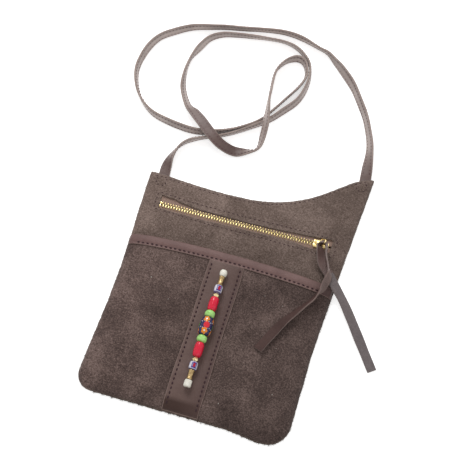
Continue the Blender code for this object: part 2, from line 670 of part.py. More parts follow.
def pull_thong(look):
    """One leather lace folded through the ring, with its two tails laid out."""
    stations = smooth_route(THONG_ROUTE_MM, 90)
    eye_x = SLIDER_X + RING_SHIFT + THONG_RISE * math.tan(RING_LEAN)
    eye = Vector((eye_x, ZIP_Y + SLIDER_X * math.tan(ZIP_SLOPE), RING_Z + THONG_RISE))
    sections = []
    for i, (point, lean) in enumerate(stations):
        ahead = stations[min(i + 1, len(stations) - 1)][0] - stations[max(i - 1, 0)][0]
        level = ahead.cross(Vector((0, 0, 1))).normalized()
        across = level * math.sin(lean) + level.cross(ahead.normalized()) * math.cos(lean)
        face = across.cross(ahead.normalized()).normalized()
        gather = math.exp(-((point - eye).length / THONG_GATHER_REACH) ** 2)
        width = THONG_WIDTH + (THONG_GATHERED - THONG_WIDTH) * gather
        wide, thick = across.normalized() * width / 2, face * THONG_THICKNESS / 2
        sections.append([point + wide + thick, point - wide + thick, point - wide - thick, point + wide - thick])
    return loft("pull_thong", sections, look)


def shoulder_strap(look):
    """A flat folded strap sewn into both top corners, on edge where it curves on the floor."""
    curve = bpy.data.curves.new("shoulder_strap", "CURVE")
    curve.dimensions = "3D"
    curve.twist_mode = "Z_UP"
    curve.use_fill_caps = True
    curve.bevel_depth = STRAP_THICKNESS / 2
    curve.extrude = (STRAP_WIDTH - STRAP_THICKNESS) / 2
    curve.bevel_resolution = 2
    stations = smooth_route(STRAP_ROUTE_MM, STRAP_POINTS)
    spline = curve.splines.new("POLY")
    spline.points.add(len(stations) - 1)
    for point, (place, lean) in zip(spline.points, stations):
        point.co = (*place, 1.0)
        point.tilt = lean
    curve.materials.append(look)
    strap = bpy.data.objects.new("shoulder_strap", curve)
    bpy.context.scene.collection.objects.link(strap)
    return strap


# Beads, strung from the top of the strip to the bottom

def barrel(diameter, length, end_share, steps=4, power=2.0):
    """Outer profile of a barrel whose ends are end_share of its diameter, with its bore."""
    radius, half = diameter / 2, length / 2
    end = end_share * radius
    outer = []
    for i in range(steps + 1):
        height = -half + length * i / steps
        bulge = 1 - abs(height / half) ** power
        outer.append((end + (radius - end) * bulge, height))
    return [(BORE_RADIUS, -half)] + outer + [(BORE_RADIUS, half)]


def spool(diameter, length, waist_share, collar):
    """A tube with a thicker collar at each end."""
    radius, half = diameter / 2, length / 2
    waist = waist_share * radius
    return [(BORE_RADIUS, -half), (0.9 * radius, -half), (radius, -half + collar / 2), (waist, -half + collar),
            (waist, half - collar), (radius, half - collar / 2), (0.9 * radius, half), (BORE_RADIUS, half)]


def bead_kinds(looks):
    """Half of the string, from its middle out: name, size, profile, segments and material."""
    return (
        ("green_bead", GREEN_BEAD, barrel(*GREEN_BEAD, 0.50, 6, 2.0), 16, looks["green_glass"]),
        ("red_bead", RED_BEAD, barrel(*RED_BEAD, 0.62, 6, 2.6), 16, looks["red_glass"]),
        ("diamond_bead", DIAMOND_BEAD, barrel(*DIAMOND_BEAD, 0.36, 2, 1.0), 8, looks["bead_brass"]),
        ("striped_bead", STRIPED_BEAD, barrel(*STRIPED_BEAD, 0.70, 6, 4.0), 16, looks["striped_glass"]),
        ("tube_bead", TUBE_BEAD, spool(*TUBE_BEAD, 0.82, 0.0014), 12, looks["bead_brass"]),
        ("white_bead", WHITE_BEAD, barrel(*WHITE_BEAD, 0.60, 4, 2.6), 12, looks["ivory_glass"]),
    )


def string_half_length():
    kinds = (GREEN_BEAD, RED_BEAD, DIAMOND_BEAD, STRIPED_BEAD, TUBE_BEAD, WHITE_BEAD)
    return PATTERNED_BEAD[1] / 2 + sum(length + BEAD_GAP for _, length in kinds)


def string_z(y):
    """Height of the bead cord, arched so that the widest bead clears the strip."""
    share = (y - BEAD_MIDDLE_Y) / string_half_length()
    low = LAYER_GAP + WHITE_BEAD[0] / 2
    high = LAYER_GAP + PATTERNED_BEAD[0] / 2
    rise = low + (high - low) * (1 - min(1.0, share * share))
    return strip_top(0.0, y) + rise


def string_bead(name, profile, segments, look, y):
    """A bead on the cord, with its origin on the cord and its bore along it."""
    bead = turned(name, profile, segments, look)
    reach = 0.001
    slope = math.atan2(string_z(y + reach) - string_z(y - reach), 2 * reach)
    bead.location = (0.0, y, string_z(y))
    bead.rotation_euler = (slope - math.pi / 2, 0.0, 0.0)
    return bead


def beads(looks):
    string_bead("patterned_bead", barrel(*PATTERNED_BEAD, 0.66, 8, 2.4), 20,
                looks["patterned_glass"], BEAD_MIDDLE_Y)
    for label, direction in (("upper", 1), ("lower", -1)):
        reach = PATTERNED_BEAD[1] / 2
        for name, (_, length), profile, segments, look in bead_kinds(looks):
            middle = reach + BEAD_GAP + length / 2
            string_bead(label + "_" + name, profile, segments, look, BEAD_MIDDLE_Y + direction * middle)
            reach = middle + length / 2


def bead_cord(look):
    """The waxed cord through the beads, down to the strip just past the end beads."""
    half = string_half_length()
    ends = []
    for direction in (1, -1):
        y = BEAD_MIDDLE_Y + direction * (half + 0.0026)
        ends.append(Vector((0.0, y, strip_top(0.0, y) + LAYER_GAP + CORD_RADIUS)))
    points = [ends[0]]
    for i in range(21):
        y = BEAD_MIDDLE_Y + (half + 0.0006) * (1 - i / 10)
        points.append(Vector((0.0, y, string_z(y))))
    points.append(ends[1])
    curve = bpy.data.curves.new("bead_cord", "CURVE")
    curve.dimensions = "3D"
    curve.use_fill_caps = True
    curve.bevel_depth = CORD_RADIUS
    curve.bevel_resolution = 1
    spline = curve.splines.new("POLY")
    spline.points.add(len(points) - 1)
    for point, place in zip(spline.points, points):
        point.co = (*place, 1.0)
    curve.materials.append(look)
    cord = bpy.data.objects.new("bead_cord", curve)
    bpy.context.scene.collection.objects.link(cord)
    return cord


def make_looks():
    return {
        "back_suede": material("back_suede", (0.125, 0.098, 0.082), 0.95),
        "front_suede": material("front_suede", (0.125, 0.098, 0.082), 0.95),
        "pocket_suede": material("pocket_suede", (0.080, 0.055, 0.045), 0.95),
        "binding_leather": material("binding_leather", (0.110, 0.066, 0.058), 0.55),
        "strip_leather": material("strip_leather", (0.090, 0.055, 0.046), 0.5),
        "strap_leather": material("strap_leather", (0.120, 0.078, 0.070), 0.55),
        "thong_leather": material("thong_leather", (0.115, 0.080, 0.072), 0.6),
        "zip_tape": material("zip_tape", (0.26, 0.17, 0.14), 0.85),
        "zip_brass": material("zip_brass", (0.85, 0.62, 0.25), 0.3, 1.0),
        "bead_brass": material("bead_brass", (0.62, 0.47, 0.22), 0.4, 1.0),
        "cord_thread": material("cord_thread", (0.30, 0.20, 0.14), 0.8),
        "ivory_glass": material("ivory_glass", (0.80, 0.77, 0.66), 0.35),
        "striped_glass": material("striped_glass", (0.13, 0.14, 0.42), 0.25),
        "red_glass": material("red_glass", (0.55, 0.03, 0.05), 0.2),
        "green_glass": material("green_glass", (0.22, 0.42, 0.10), 0.25),
        "patterned_glass": material("patterned_glass", (0.05, 0.06, 0.14), 0.25),
    }


def zip_parts(looks, zip_line):
    for label, side in (("upper", 1), ("lower", -1)):
        tape, helpers = tape_half("zip_" + label + "_half", side, looks["zip_tape"])
        clamp_end = top_stop("zip_" + label + "_top_stop", side, looks["zip_brass"])
        for made in (tape, *helpers, clamp_end):
            made.parent = zip_line
    bottom_stop(looks["zip_brass"]).parent = zip_line


def build():
    for old in list(bpy.data.objects):
        bpy.data.objects.remove(old, do_unlink=True)
    looks = make_looks()
    zip_line = bpy.data.objects.new("zip_line", None)
    bpy.context.scene.collection.objects.link(zip_line)
    zip_line.location = (0.0, ZIP_Y, TAPE_Z)
    zip_line.rotation_euler = (0.0, 0.0, ZIP_SLOPE)
    back_panel(looks["back_suede"])
    front_panel(looks["front_suede"], zip_line)
    pocket_panel(looks["pocket_suede"])
    pocket_binding(looks["binding_leather"])
    centre_strip(looks["strip_leather"])
    zip_parts(looks, zip_line)
    slider_body(looks["zip_brass"], zip_line)
    pull_ring(looks["zip_brass"], zip_line)
    pull_thong(looks["thong_leather"])
    shoulder_strap(looks["strap_leather"])
    beads(looks)
    bead_cord(looks["cord_thread"])


build()
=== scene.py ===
"""Looks of the suede crossbody pouch: napped suede, smooth trim, stitching, a brass zip
and glass beads, lit like a table-top photograph."""

import json
import math

import bpy
import numpy as np
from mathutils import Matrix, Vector
from mathutils.geometry import interpolate_bezier


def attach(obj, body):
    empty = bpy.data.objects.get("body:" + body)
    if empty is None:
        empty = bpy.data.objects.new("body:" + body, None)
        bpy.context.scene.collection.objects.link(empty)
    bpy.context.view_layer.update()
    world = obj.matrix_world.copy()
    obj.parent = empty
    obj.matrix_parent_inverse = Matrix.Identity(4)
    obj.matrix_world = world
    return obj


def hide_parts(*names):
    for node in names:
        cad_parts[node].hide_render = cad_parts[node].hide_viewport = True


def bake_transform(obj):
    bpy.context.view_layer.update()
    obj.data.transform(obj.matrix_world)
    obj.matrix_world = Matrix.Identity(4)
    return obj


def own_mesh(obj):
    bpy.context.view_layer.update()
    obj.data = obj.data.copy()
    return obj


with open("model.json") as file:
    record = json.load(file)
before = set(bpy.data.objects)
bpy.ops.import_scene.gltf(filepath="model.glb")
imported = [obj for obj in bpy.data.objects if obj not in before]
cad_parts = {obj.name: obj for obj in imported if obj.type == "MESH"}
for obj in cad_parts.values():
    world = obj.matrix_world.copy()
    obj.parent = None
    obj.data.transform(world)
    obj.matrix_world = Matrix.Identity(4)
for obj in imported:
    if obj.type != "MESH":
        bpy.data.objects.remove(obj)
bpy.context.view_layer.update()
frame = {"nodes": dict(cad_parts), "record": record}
RNG = np.random.default_rng(7)

# Sizes in metres, most of them shared with the solids
SUEDE, SMOOTH_LEATHER, STRIP_LEATHER, LAYER_GAP = 0.0013, 0.0009, 0.0011, 0.0003
BAG_WIDTH, BAG_HEIGHT, SWOOP_RISE, TOP_DIP = 0.192, 0.218, 0.0496, 0.0030
LEFT_WAIST, RIGHT_TUCK, RIGHT_LEAN, LEAN_FROM_Y = 0.0035, 0.0015, 0.0115, -0.030
CORNER_DROOP, DROOP_FROM, DROOP_REACH = 0.0034, 0.040, 0.032
LEFT_CORNER_RADIUS, RIGHT_CORNER_RADIUS = 0.014, 0.020
EDGE_ROLL, ZIP_PUFF, LOWER_PUFF = 0.010, 0.0032, 0.0013
PUFF_STEP_FROM, PUFF_STEP_TO = 0.046, 0.064
MOUTH_SIDE_Y, MOUTH_BOW, MOUTH_LIFT_FROM, MOUTH_LIFT_TO = 0.0388, 0.0046, 0.028, 0.011
POCKET_ROLL, POCKET_PUFF, BINDING_DEPTH, BINDING_GAP = 0.030, 0.0055, 0.0088, 0.00025
# Each dent: its centre, its reach both ways and its depth
POCKET_DENTS = ((0.033, -0.035, 0.010, 0.030, 0.0009), (-0.034, -0.010, 0.012, 0.034, 0.0008))
BODY_SLACK, POCKET_SLACK, STRAP_SWELL = 0.0005, 0.0011, 0.0010
STRIP_WIDTH, BINDING_ROW = 0.0314, 0.79
ZIP_Y, ZIP_SLOPE = 0.0792, math.radians(0.7)
TAPE_Z = 0.0042
CHAIN_LEFT, TOOTH_PITCH, TOOTH_PAIRS, CHAIN_WIDTH, TOOTH_HEIGHT = -0.0759, 0.0026, 58, 0.0058, 0.0027
WINDOW_LEFT, WINDOW_RIGHT = -0.0790, 0.0860
# Edges of the window: x and the distance from the zip's middle line
WINDOW_TOP_MM = ((-79, 9.5), (-68, 8.5), (-55, 5.9), (-40, 4.3), (-22, 3.8), (10, 3.7),
                 (32, 4.3), (50, 5.3), (66, 6.2), (86, 7.4))
WINDOW_LOW_MM = ((-79, 5.2), (-60, 5.6), (-38, 6.1), (0, 5.2), (45, 4.6), (66, 6.8), (86, 6.8))
# The stitched box round the window, and the centre and turn of each box over a strap end
WINDOW_BOX = ((WINDOW_LEFT - 0.0035, -0.0060), (-0.03, -0.0085), (0.02, -0.0082), (0.062, -0.0094),
              (WINDOW_RIGHT + 0.0035, -0.0100), (WINDOW_RIGHT + 0.0035, 0.0080), (0.06, 0.0088),
              (0.0, 0.0080), (-0.05, 0.0090), (WINDOW_LEFT - 0.0035, 0.0112),
              (WINDOW_LEFT - 0.0035, -0.0060))
STRAP_BOXES = ((-0.0838, 0.1010, 0.0), (0.0965, 0.1475, 0.16))
SLIDER_X, SLIDER_HALF, SLIDER_TOP_Z, RING_Z = 0.073775, 0.0055, 0.00675, 0.0077
# The plates' half width at shares of their length, and the bridge's x, height and half width
SLIDER_OUTLINE = ((0, 0.0022), (0.04, 0.0032), (0.10, 0.00375), (0.32, 0.0038), (0.60, 0.0042),
                  (0.80, 0.0042), (0.93, 0.0036), (1.0, 0.0024))
SLIDER_BRIDGE_MM = ((-3.5, -0.6, 1.0), (-3.5, 0.6, 1.0), (-3.2, 1.7, 1.05), (-2.4, 2.4, 1.1),
                    (-1.2, 2.72, 1.1), (0, 2.8, 1.1), (1.2, 2.72, 1.1), (2.4, 2.4, 1.1),
                    (3.2, 1.7, 1.05), (3.5, 0.6, 1.0), (3.5, -0.6, 1.0))
RING_LEAN, RING_SHIFT, THONG_RISE = math.radians(25), 0.0014, 0.0044
STRAP_WIDTH, STRAP_THICKNESS = 0.0106, 0.0020
# Routes: x, y, height and the lean in degrees, 0 on edge and 90 lying flat
STRAP_ROUTE_MM = (
    (-84, 109.5, 1.6, 88), (-84.5, 118, 2.5, 75), (-83.5, 128, 4.8, 42), (-79.5, 140, 5.4, 18),
    (-72.5, 149, 5.4, 12), (-61, 156, 5.4, 17), (-43.8, 163.5, 5.4, 18), (-25, 175.7, 5.4, 13),
    (-7, 190.5, 5.4, 3), (5.5, 206, 5.4, -7), (14.5, 220, 5.4, -8), (18.8, 235, 5.4, -8),
    (19.2, 248.5, 5.4, -5), (16, 262, 5.4, -4), (7.5, 272.2, 5.4, -8), (-3.5, 278.5, 5.4, -13),
    (-17, 280.8, 5.4, -21), (-32, 279.7, 5.4, -20), (-46, 277.6, 5.4, -14), (-62, 275.4, 5.4, -10),
    (-75, 272, 5.4, -6), (-86.3, 264.4, 5.4, 2), (-93, 252, 5.4, 12), (-97.6, 237, 5.4, -7),
    (-98, 219.5, 5.4, 5), (-94, 202.5, 5.4, 25), (-85, 186, 6.8, 38), (-75.5, 178, 9.2, 72),
    (-65.5, 169, 12.3, 88), (-57, 161.5, 12.9, 90), (-49.5, 156, 12.6, 90), (-42.5, 152.5, 10, 90),
    (-33.5, 151, 5.6, 90), (-25.5, 152, 2.4, 84), (-14, 155, 4.6, 42), (-8.4, 158, 5.4, 26),
    (-6.3, 163.5, 5.8, 28), (-5.7, 171.5, 9.4, 36), (-5.8, 180, 13.8, 34), (-7, 188.5, 16.2, 30),
    (-8.4, 197.5, 16.4, 18), (-10.4, 208, 14, 10), (-12.1, 220, 8.4, 8), (-13.5, 230.5, 5.5, 8),
    (-14.2, 242, 5.4, 10), (-13, 250.5, 5.4, 12), (-7, 260.5, 5.4, 6), (2.7, 265.8, 5.4, -6),
    (10.5, 262.8, 5.4, -9), (14.7, 254, 5.4, -9), (15.4, 245.5, 5.4, -14), (11, 233.3, 5.4, -18),
    (2.5, 217, 5.4, -20), (-6, 201.5, 5.4, -21), (-12, 191.5, 5.4, -18), (-21.5, 182.3, 5.4, -16),
    (-40.3, 170.2, 5.4, -14), (-59, 163, 5.4, -2), (-77, 160.5, 5.4, 6), (-99, 163.7, 5.4, 6),
    (-115.5, 168.6, 5.4, 0), (-128.5, 179, 5.4, -8), (-138, 192.4, 5.4, -12), (-143.3, 206.5, 5.4, -12),
    (-144.3, 221, 5.4, -11), (-141.5, 237, 5.4, -13), (-133.6, 252, 5.4, -5), (-120.7, 262.8, 5.4, -4),
    (-104, 272.2, 5.4, 2), (-82.6, 279, 5.4, 8), (-59.8, 284.3, 5.4, 12), (-38.6, 288.3, 5.4, 14),
    (-18, 291.3, 5.4, 10), (2.3, 289, 5.4, 7), (21.4, 283.3, 5.4, 18), (30, 280.3, 5.4, 8),
    (38.8, 273.4, 5.4, -8), (46.2, 267.6, 5.3, -21), (57, 256.8, 5.2, -27), (65.4, 246.7, 5.3, -21),
    (75, 232.2, 5.3, -20), (83.2, 218.6, 5.3, -20), (89.4, 205.2, 5.3, -21), (93.4, 193.4, 5.2, -28),
    (95.8, 181, 4.7, -42), (97, 169.4, 3.1, -67), (98, 158.7, 1.8, -86),
)
STRAP_END_LEFT_MM, STRAP_END_RIGHT_MM = (-83.6, 103, 1.95, 88), (98.6, 151.5, 1.95, -86)
# How strong the painted sheen, with wear, is at distances along the strap, and the places of its stitch rows
STRAP_SHEEN_AND_WEAR = ((0.02, 0.9), (0.09, 0.95), (0.15, 0.68), (0.20, 1.0), (0.25, 1.35), (0.29, 0.72), (0.36, 0.95),
              (0.46, 0.9), (0.54, 1.05), (0.58, 1.15), (0.61, 0.78), (0.65, 0.78), (0.73, 0.95), (0.79, 0.7),
              (0.84, 1.1), (0.90, 0.85), (0.95, 1.05), (0.98, 0.75), (1.02, 1.3), (1.05, 0.95), (1.07, 1.15),
              (1.10, 0.75), (1.19, 0.8), (1.22, 1.0))
STRAP_ROWS, STRAP_SEWN = (0.30, -0.25), 0.5
THONG_WIDTH, THONG_THICKNESS, THONG_GATHERED, THONG_GATHER_REACH = 0.0086, 0.0016, 0.0038, 0.009
THONG_ROUTE_MM = (
    (49, -36.2, 13.9, 73), (56, -20.7, 14, 74), (64, -4.9, 14.5, 63), (69.4, 2.8, 15.2, 50),
    (77.7, 14.6, 16, 33), (82.4, 21.3, 16.5, 28), (86, 28.7, 16.9, 10), (88.4, 34, 17, -24),
    (89.9, 40.5, 17, -38), (91, 46.7, 17, -34), (90.4, 50.8, 17.3, -16), (87.3, 57.4, 17.3, -2),
    (84.1, 64.8, 16.6, -2), (82.2, 71.9, 15.2, 0), (81.2, 77.4, 13.1, 0), (79.6, 80, 12.2, 0),
    (76.7, 80.2, 12.1, 0), (75, 78.2, 12.4, 8), (74.4, 76.4, 13.1, 26), (74.8, 74.6, 13.5, 42),
    (76.8, 71, 12.9, 56), (79.2, 66, 11.8, 66), (81.6, 61, 11.6, 77), (85.6, 56, 11.4, 86),
    (90.2, 51.4, 11.3, 88), (98.2, 42.3, 11.4, 84), (109, 30.5, 10, 80), (118.8, 18.2, 7.8, 84),
    (134, -2, 4, 88), (149.6, -23, 1.5, 90),
)
LOWER_Y, UPPER_Y = -BAG_HEIGHT / 2, BAG_HEIGHT / 2
FRONT_EDGE_Z = SUEDE + LAYER_GAP

# Thread, turned beads (distance along and radius), fibres and the camera
STITCH_PITCH, STITCH_LENGTH, THREAD_RADIUS, YARN_PITCH = 0.0043, 0.0027, 0.00038, 0.00055
TUBE_BEAD_MM = ((-4.5, 2.1), (-4.4, 2.5), (-3.9, 2.65), (-3.3, 2.6), (-3.0, 2.35), (-1.5, 2.25), (0.0, 2.3),
                (1.5, 2.35), (3.0, 2.4), (3.3, 2.6), (3.9, 2.65), (4.4, 2.5), (4.5, 2.1))
DIAMOND_BEAD_MM = ((-2.2, 0.9), (-2.05, 1.15), (-0.15, 2.42), (0.0, 2.5), (0.15, 2.42), (2.05, 1.15),
                   (2.2, 0.9))
# Each edge: its number of tufts, their reach and direction, and each layer's height and fibres
FIBRE_EDGES = (
    ("bottom", 900, 0.0022, (0.0, -1.0), ((0.0007, 3), (0.0023, 3), (0.0042, 3))),
    ("left", 700, 0.0016, (-1.0, 0.0), ((0.0007, 2), (0.0023, 2), (0.0042, 3))),
    ("right", 760, 0.0016, (1.0, 0.0), ((0.0007, 2), (0.0023, 2), (0.0042, 3))),
    ("top", 620, 0.0012, (0.0, 1.0), ((0.0007, 1), (0.0024, 3))),
)
LINT_SPOTS = ((0.0585, 0.010), (0.030, -0.092), (-0.041, -0.012), (0.064, -0.030), (-0.062, 0.004),
              (0.041, 0.015), (-0.030, 0.060), (0.072, -0.071))
FIBRE_SCATTER, FIBRE_SPREAD, FIBRE_HALF_WIDTH = 0.00035, 0.75, 0.00011
CAMERA_AIM, CAMERA_DISTANCE, CAMERA_LENS_MM = (-0.0019, 0.069, 0.0), 1.2, 99.5
CAMERA_ROUND, CAMERA_UP = math.radians(16.5), math.radians(65.5)


# Colours and materials

def srgb(r, g, b):
    """Linear colour from 0 to 255 display values."""
    return tuple(((c / 255 + 0.055) / 1.055) ** 2.4 if c > 10 else c / 255 / 12.92 for c in (r, g, b))


def node(tree, kind, inputs=None, **settings):
    made = tree.nodes.new("ShaderNode" + kind)
    for key, value in settings.items():
        setattr(made, key, value)
    for socket, value in (inputs or {}).items():
        if isinstance(value, bpy.types.NodeSocket):
            tree.links.new(value, made.inputs[socket])
        else:
            made.inputs[socket].default_value = value
    return made


def new_material(name, **values):
    """A Principled material with plain values on its own sockets."""
    made = bpy.data.materials.new(name)
    made.use_nodes = True
    shader = made.node_tree.nodes["Principled BSDF"]
    for key, value in values.items():
        shader.inputs[key.replace("_", " ")].default_value = value
    return made, made.node_tree, shader


def place(tree):
    return node(tree, "TexCoord").outputs["Object"]


def grain(tree, where, scale, detail=3.0, roughness=0.6, distortion=0.0):
    return node(tree, "TexNoise", {"Vector": where, "Scale": scale, "Detail": detail,
                                   "Roughness": roughness, "Distortion": distortion}).outputs["Fac"]


def math_node(tree, operation, a, b):
    return node(tree, "Math", {0: a, 1: b}, operation=operation).outputs[0]


def total(tree, start, *parts):
    """A start number plus each part's field times its weight."""
    value = start
    for field, weight in parts:
        value = math_node(tree, "ADD", value, math_node(tree, "MULTIPLY", field, weight))
    return value


def ramp(tree, factor, *stops):
    """A colour ramp; each stop is a position and a display colour."""
    made = node(tree, "ValToRGB", {"Fac": factor})
    elements = made.color_ramp.elements
    while len(elements) < len(stops):
        elements.new(0.5)
    for element, (position, color) in zip(elements, stops):
        element.position = position
        element.color = (*srgb(*color), 1.0)
    return made.outputs["Color"]


def mix_color(tree, factor, a, b, blend="MIX"):
    """Mixes two colours, each a socket or a display colour."""
    made = node(tree, "Mix", data_type="RGBA", blend_type=blend)
    for index, value in ((0, factor), (6, a), (7, b)):
        if isinstance(value, bpy.types.NodeSocket):
            tree.links.new(value, made.inputs[index])
        else:
            made.inputs[index].default_value = (*srgb(*value), 1.0) if index else value
    return made.outputs[2]


def share_along(tree, where, axis, start, end):
    """0 at start to 1 at end, along one axis of the object."""
    value = node(tree, "SeparateXYZ", {"Vector": where}).outputs[axis]
    return node(tree, "MapRange", {"Value": value, "From Min": start, "From Max": end}).outputs[0]


def skin(tree, shader, color, height, distance, strength, rough=None):
    """Joins a look's colour, its bump and, where that varies, its roughness to the shader."""
    bumps = node(tree, "Bump", {"Height": height, "Distance": distance, "Strength": strength})
    for socket, value in (("Base Color", color), ("Normal", bumps.outputs["Normal"]), ("Roughness", rough)):
        if value is not None:
            tree.links.new(value, shader.inputs[socket])


def suede(name, dark, middle, light, blotch, far):
    """Napped split leather: brushed patches, a speckle of tufts and a soft sheen. It darkens from left to
    right, to the share far: painted shade on the side away from the light."""
    made, tree, shader = new_material(name, Roughness=0.95, Specular_IOR_Level=0.12,
                                      Sheen_Weight=0.10, Sheen_Roughness=0.6)
    where = place(tree)
    patches = grain(tree, where, 30, 3, 0.5, 0.8)
    brushed = grain(tree, where, 190, 3, 0.6, 1.0)
    tufts = grain(tree, where, 720, 2, 0.6, 0.3)
    fibres = grain(tree, where, 1300, 2, 0.6)
    fields = ((patches, 0.9 * blotch), (brushed, 0.35 * blotch), (tufts, 1.2), (fibres, 1.0))
    # Each field is about 0.5 on average, and this start keeps their sum there
    value = total(tree, 0.5 - sum(weight for _, weight in fields) / 2, *fields)
    color = ramp(tree, value, (0.0, dark), (0.5, middle), (1.0, light))
    # Painted shade: the colour is multiplied darker from left to right, away from the key light
    painted_side_shade = total(tree, 1.0, (share_along(tree, where, "X", -0.10, 0.10), far - 1.0))
    color = mix_color(tree, 1.0, color, painted_side_shade, "MULTIPLY")
    skin(tree, shader, color, total(tree, 0.0, (tufts, 1.0), (brushed, 0.5)), 0.0010, 0.8)
    return made


def smooth_leather(name, dark, light, roughness, gloss=0.4, pale=None, end=None, side=None):
    """Finished leather with a fine pebble, faint creases and uneven dye. Where the mesh is marked it turns
    pale, a painted sheen mixed with wear, and along y towards its end and along x towards its side it turns
    to a darker colour, painted shade."""
    made, tree, shader = new_material(name, Specular_IOR_Level=gloss)
    where = place(tree)
    value = total(tree, 0.0, (grain(tree, where, 60, 4, 0.6), 0.7), (grain(tree, where, 900, 3, 0.7), 0.3))
    color = ramp(tree, value, (0.3, dark), (0.7, light))
    if pale is not None:
        # The marked pale colours are painted sheen, mixed with wear
        sheen_and_wear = node(tree, "Attribute", attribute_name="sheen_and_wear").outputs["Fac"]
        color = mix_color(tree, sheen_and_wear, color, ramp(tree, value, (0.3, pale[0]), (0.7, pale[1])))
    # Painted shade: towards its end along y or its side along x the colour turns darker
    for axis, turned in (("Y", end), ("X", side)):
        if turned is not None:
            start, stop, shade_color = turned
            color = mix_color(tree, share_along(tree, where, axis, start, stop), color, shade_color)
    pores = node(tree, "TexVoronoi", {"Vector": where, "Scale": 1500.0}).outputs["Distance"]
    creases = grain(tree, where, 260, 4, 0.65, 1.2)
    skin(tree, shader, color, total(tree, 0.0, (pores, 0.7), (creases, 1.0)), 0.0003, 0.7,
         total(tree, roughness - 0.11, (creases, 0.22)))
    return made


def fibrous(name, dark, light):
    """The flesh side or cut edge of leather: short matted fibres."""
    made, tree, shader = new_material(name, Roughness=0.9, Specular_IOR_Level=0.2,
                                      Sheen_Weight=0.1, Sheen_Roughness=0.5)
    where = place(tree)
    fibres = grain(tree, where, 1100, 5, 0.75)
    clouds = grain(tree, where, 120, 3, 0.6)
    value = total(tree, 0.0, (fibres, 0.6), (clouds, 0.4))
    skin(tree, shader, ramp(tree, value, (0.32, dark), (0.68, light)), fibres, 0.0004, 0.8)
    return made


def woven(name, dark, light):
    """Twilled zip tape: yarns both ways with a slight fuzz."""
    made, tree, shader = new_material(name, Roughness=0.85, Specular_IOR_Level=0.25,
                                      Sheen_Weight=0.15, Sheen_Roughness=0.4)
    where = place(tree)
    across, along = (
        node(tree, "TexWave", {"Vector": where, "Scale": 0.314 / YARN_PITCH * tight, "Distortion": 0.6,
                               "Detail": 1.0}, bands_direction=way).outputs["Fac"]
        for way, tight in (("X", 1.0), ("DIAGONAL", 0.9)))
    yarns = math_node(tree, "MULTIPLY", across, along)
    value = total(tree, 0.0, (yarns, 0.7), (grain(tree, where, 1500, 3, 0.7), 0.5))
    skin(tree, shader, ramp(tree, value, (0.15, dark), (0.75, light)), value, 0.00025, 0.8)
    return made


def metal(name, color, shade, roughness, wear, dents, patch=420.0):
    """Brass with faint tarnish and fine handling marks."""
    made, tree, shader = new_material(name, Metallic=1.0)
    where = place(tree)
    tarnish = grain(tree, where, patch, 4, 0.65)
    scratches = grain(tree, where, 2600, 2, 0.6, 0.5)
    skin(tree, shader, ramp(tree, tarnish, (0.3, shade), (0.62, color)),
         math_node(tree, "ADD", scratches, tarnish), dents, 0.6,
         total(tree, roughness - wear, (scratches, wear * 2)))
    return made


def thread_material(name, dark, light):
    """Twisted thread with a dull shine."""
    made, tree, shader = new_material(name, Roughness=0.6, Specular_IOR_Level=0.35)
    twist = node(tree, "TexWave", {"Vector": place(tree), "Scale": 700.0, "Distortion": 1.0},
                 bands_direction="DIAGONAL").outputs["Fac"]
    skin(tree, shader, ramp(tree, twist, (0.2, dark), (0.8, light)), twist, 0.0001, 0.7)
    return made


def glass(name, color, shade, roughness, pits):
    """Opaque pressed glass: uneven colour under a glossy skin with small pits."""
    made, tree, shader = new_material(name, Coat_Weight=0.12, Coat_Roughness=0.08,
                                      Specular_IOR_Level=0.32)
    where = place(tree)
    swirl = grain(tree, where, 420, 3, 0.6, 0.8)
    dimples = grain(tree, where, 700, 2, 0.5)
    skin(tree, shader, ramp(tree, swirl, (0.3, shade), (0.6, color)), dimples, pits, 0.6,
         total(tree, roughness, (dimples, 0.05)))
    return made


def painted_glass(name):
    """Glass whose canes are coloured per point, with a little bleed and pitting."""
    made, tree, shader = new_material(name, Coat_Weight=0.1, Coat_Roughness=0.1,
                                      Specular_IOR_Level=0.35)
    canes = node(tree, "Attribute", attribute_name="canes").outputs["Color"]
    pits = grain(tree, place(tree), 1700, 3, 0.65)
    dull = ramp(tree, pits, (0.3, (205, 205, 205)), (0.6, (255, 255, 255)))
    skin(tree, shader, mix_color(tree, 1.0, canes, dull, "MULTIPLY"), pits, 0.00005, 0.6,
         total(tree, 0.15, (pits, 0.2)))
    return made


# Surface of the bag

def smooth(value):
    value = np.clip(value, 0.0, 1.0)
    return value * value * (3 - 2 * value)


def lerp(a, b, share):
    return a + (b - a) * share


def hump(distance, width):
    """1 at no distance, falling smoothly to almost nothing at twice the width."""
    return np.exp(-(distance / width) ** 2)


def roll_off(distance, reach):
    inward = 1 - np.clip(distance / reach, 0.0, 1.0)
    return np.sqrt(1 - inward * inward)


def bezier_table(spans):
    points = []
    for span in spans:
        points += interpolate_bezier(*(Vector((x, y, 0.0)) for x, y in span), 40)
    return np.array([(p.x, p.y) for p in points])


TOP_EDGE = bezier_table((
    ((-0.100, UPPER_Y), (-0.072, UPPER_Y), (-0.040, UPPER_Y - 1.5 * TOP_DIP),
     (-0.010, UPPER_Y - 0.9 * TOP_DIP)),
    ((-0.010, UPPER_Y - 0.9 * TOP_DIP), (0.065, UPPER_Y - TOP_DIP / 3),
     (0.075, UPPER_Y + SWOOP_RISE - 0.004), (0.108, UPPER_Y + SWOOP_RISE)),
))


def top_y(x):
    return np.interp(x, TOP_EDGE[:, 0], TOP_EDGE[:, 1])


def bottom_y(x):
    """The bottom edge, which drops a little towards its right corner."""
    return LOWER_Y - CORNER_DROOP * smooth((x - DROOP_FROM) / DROOP_REACH)


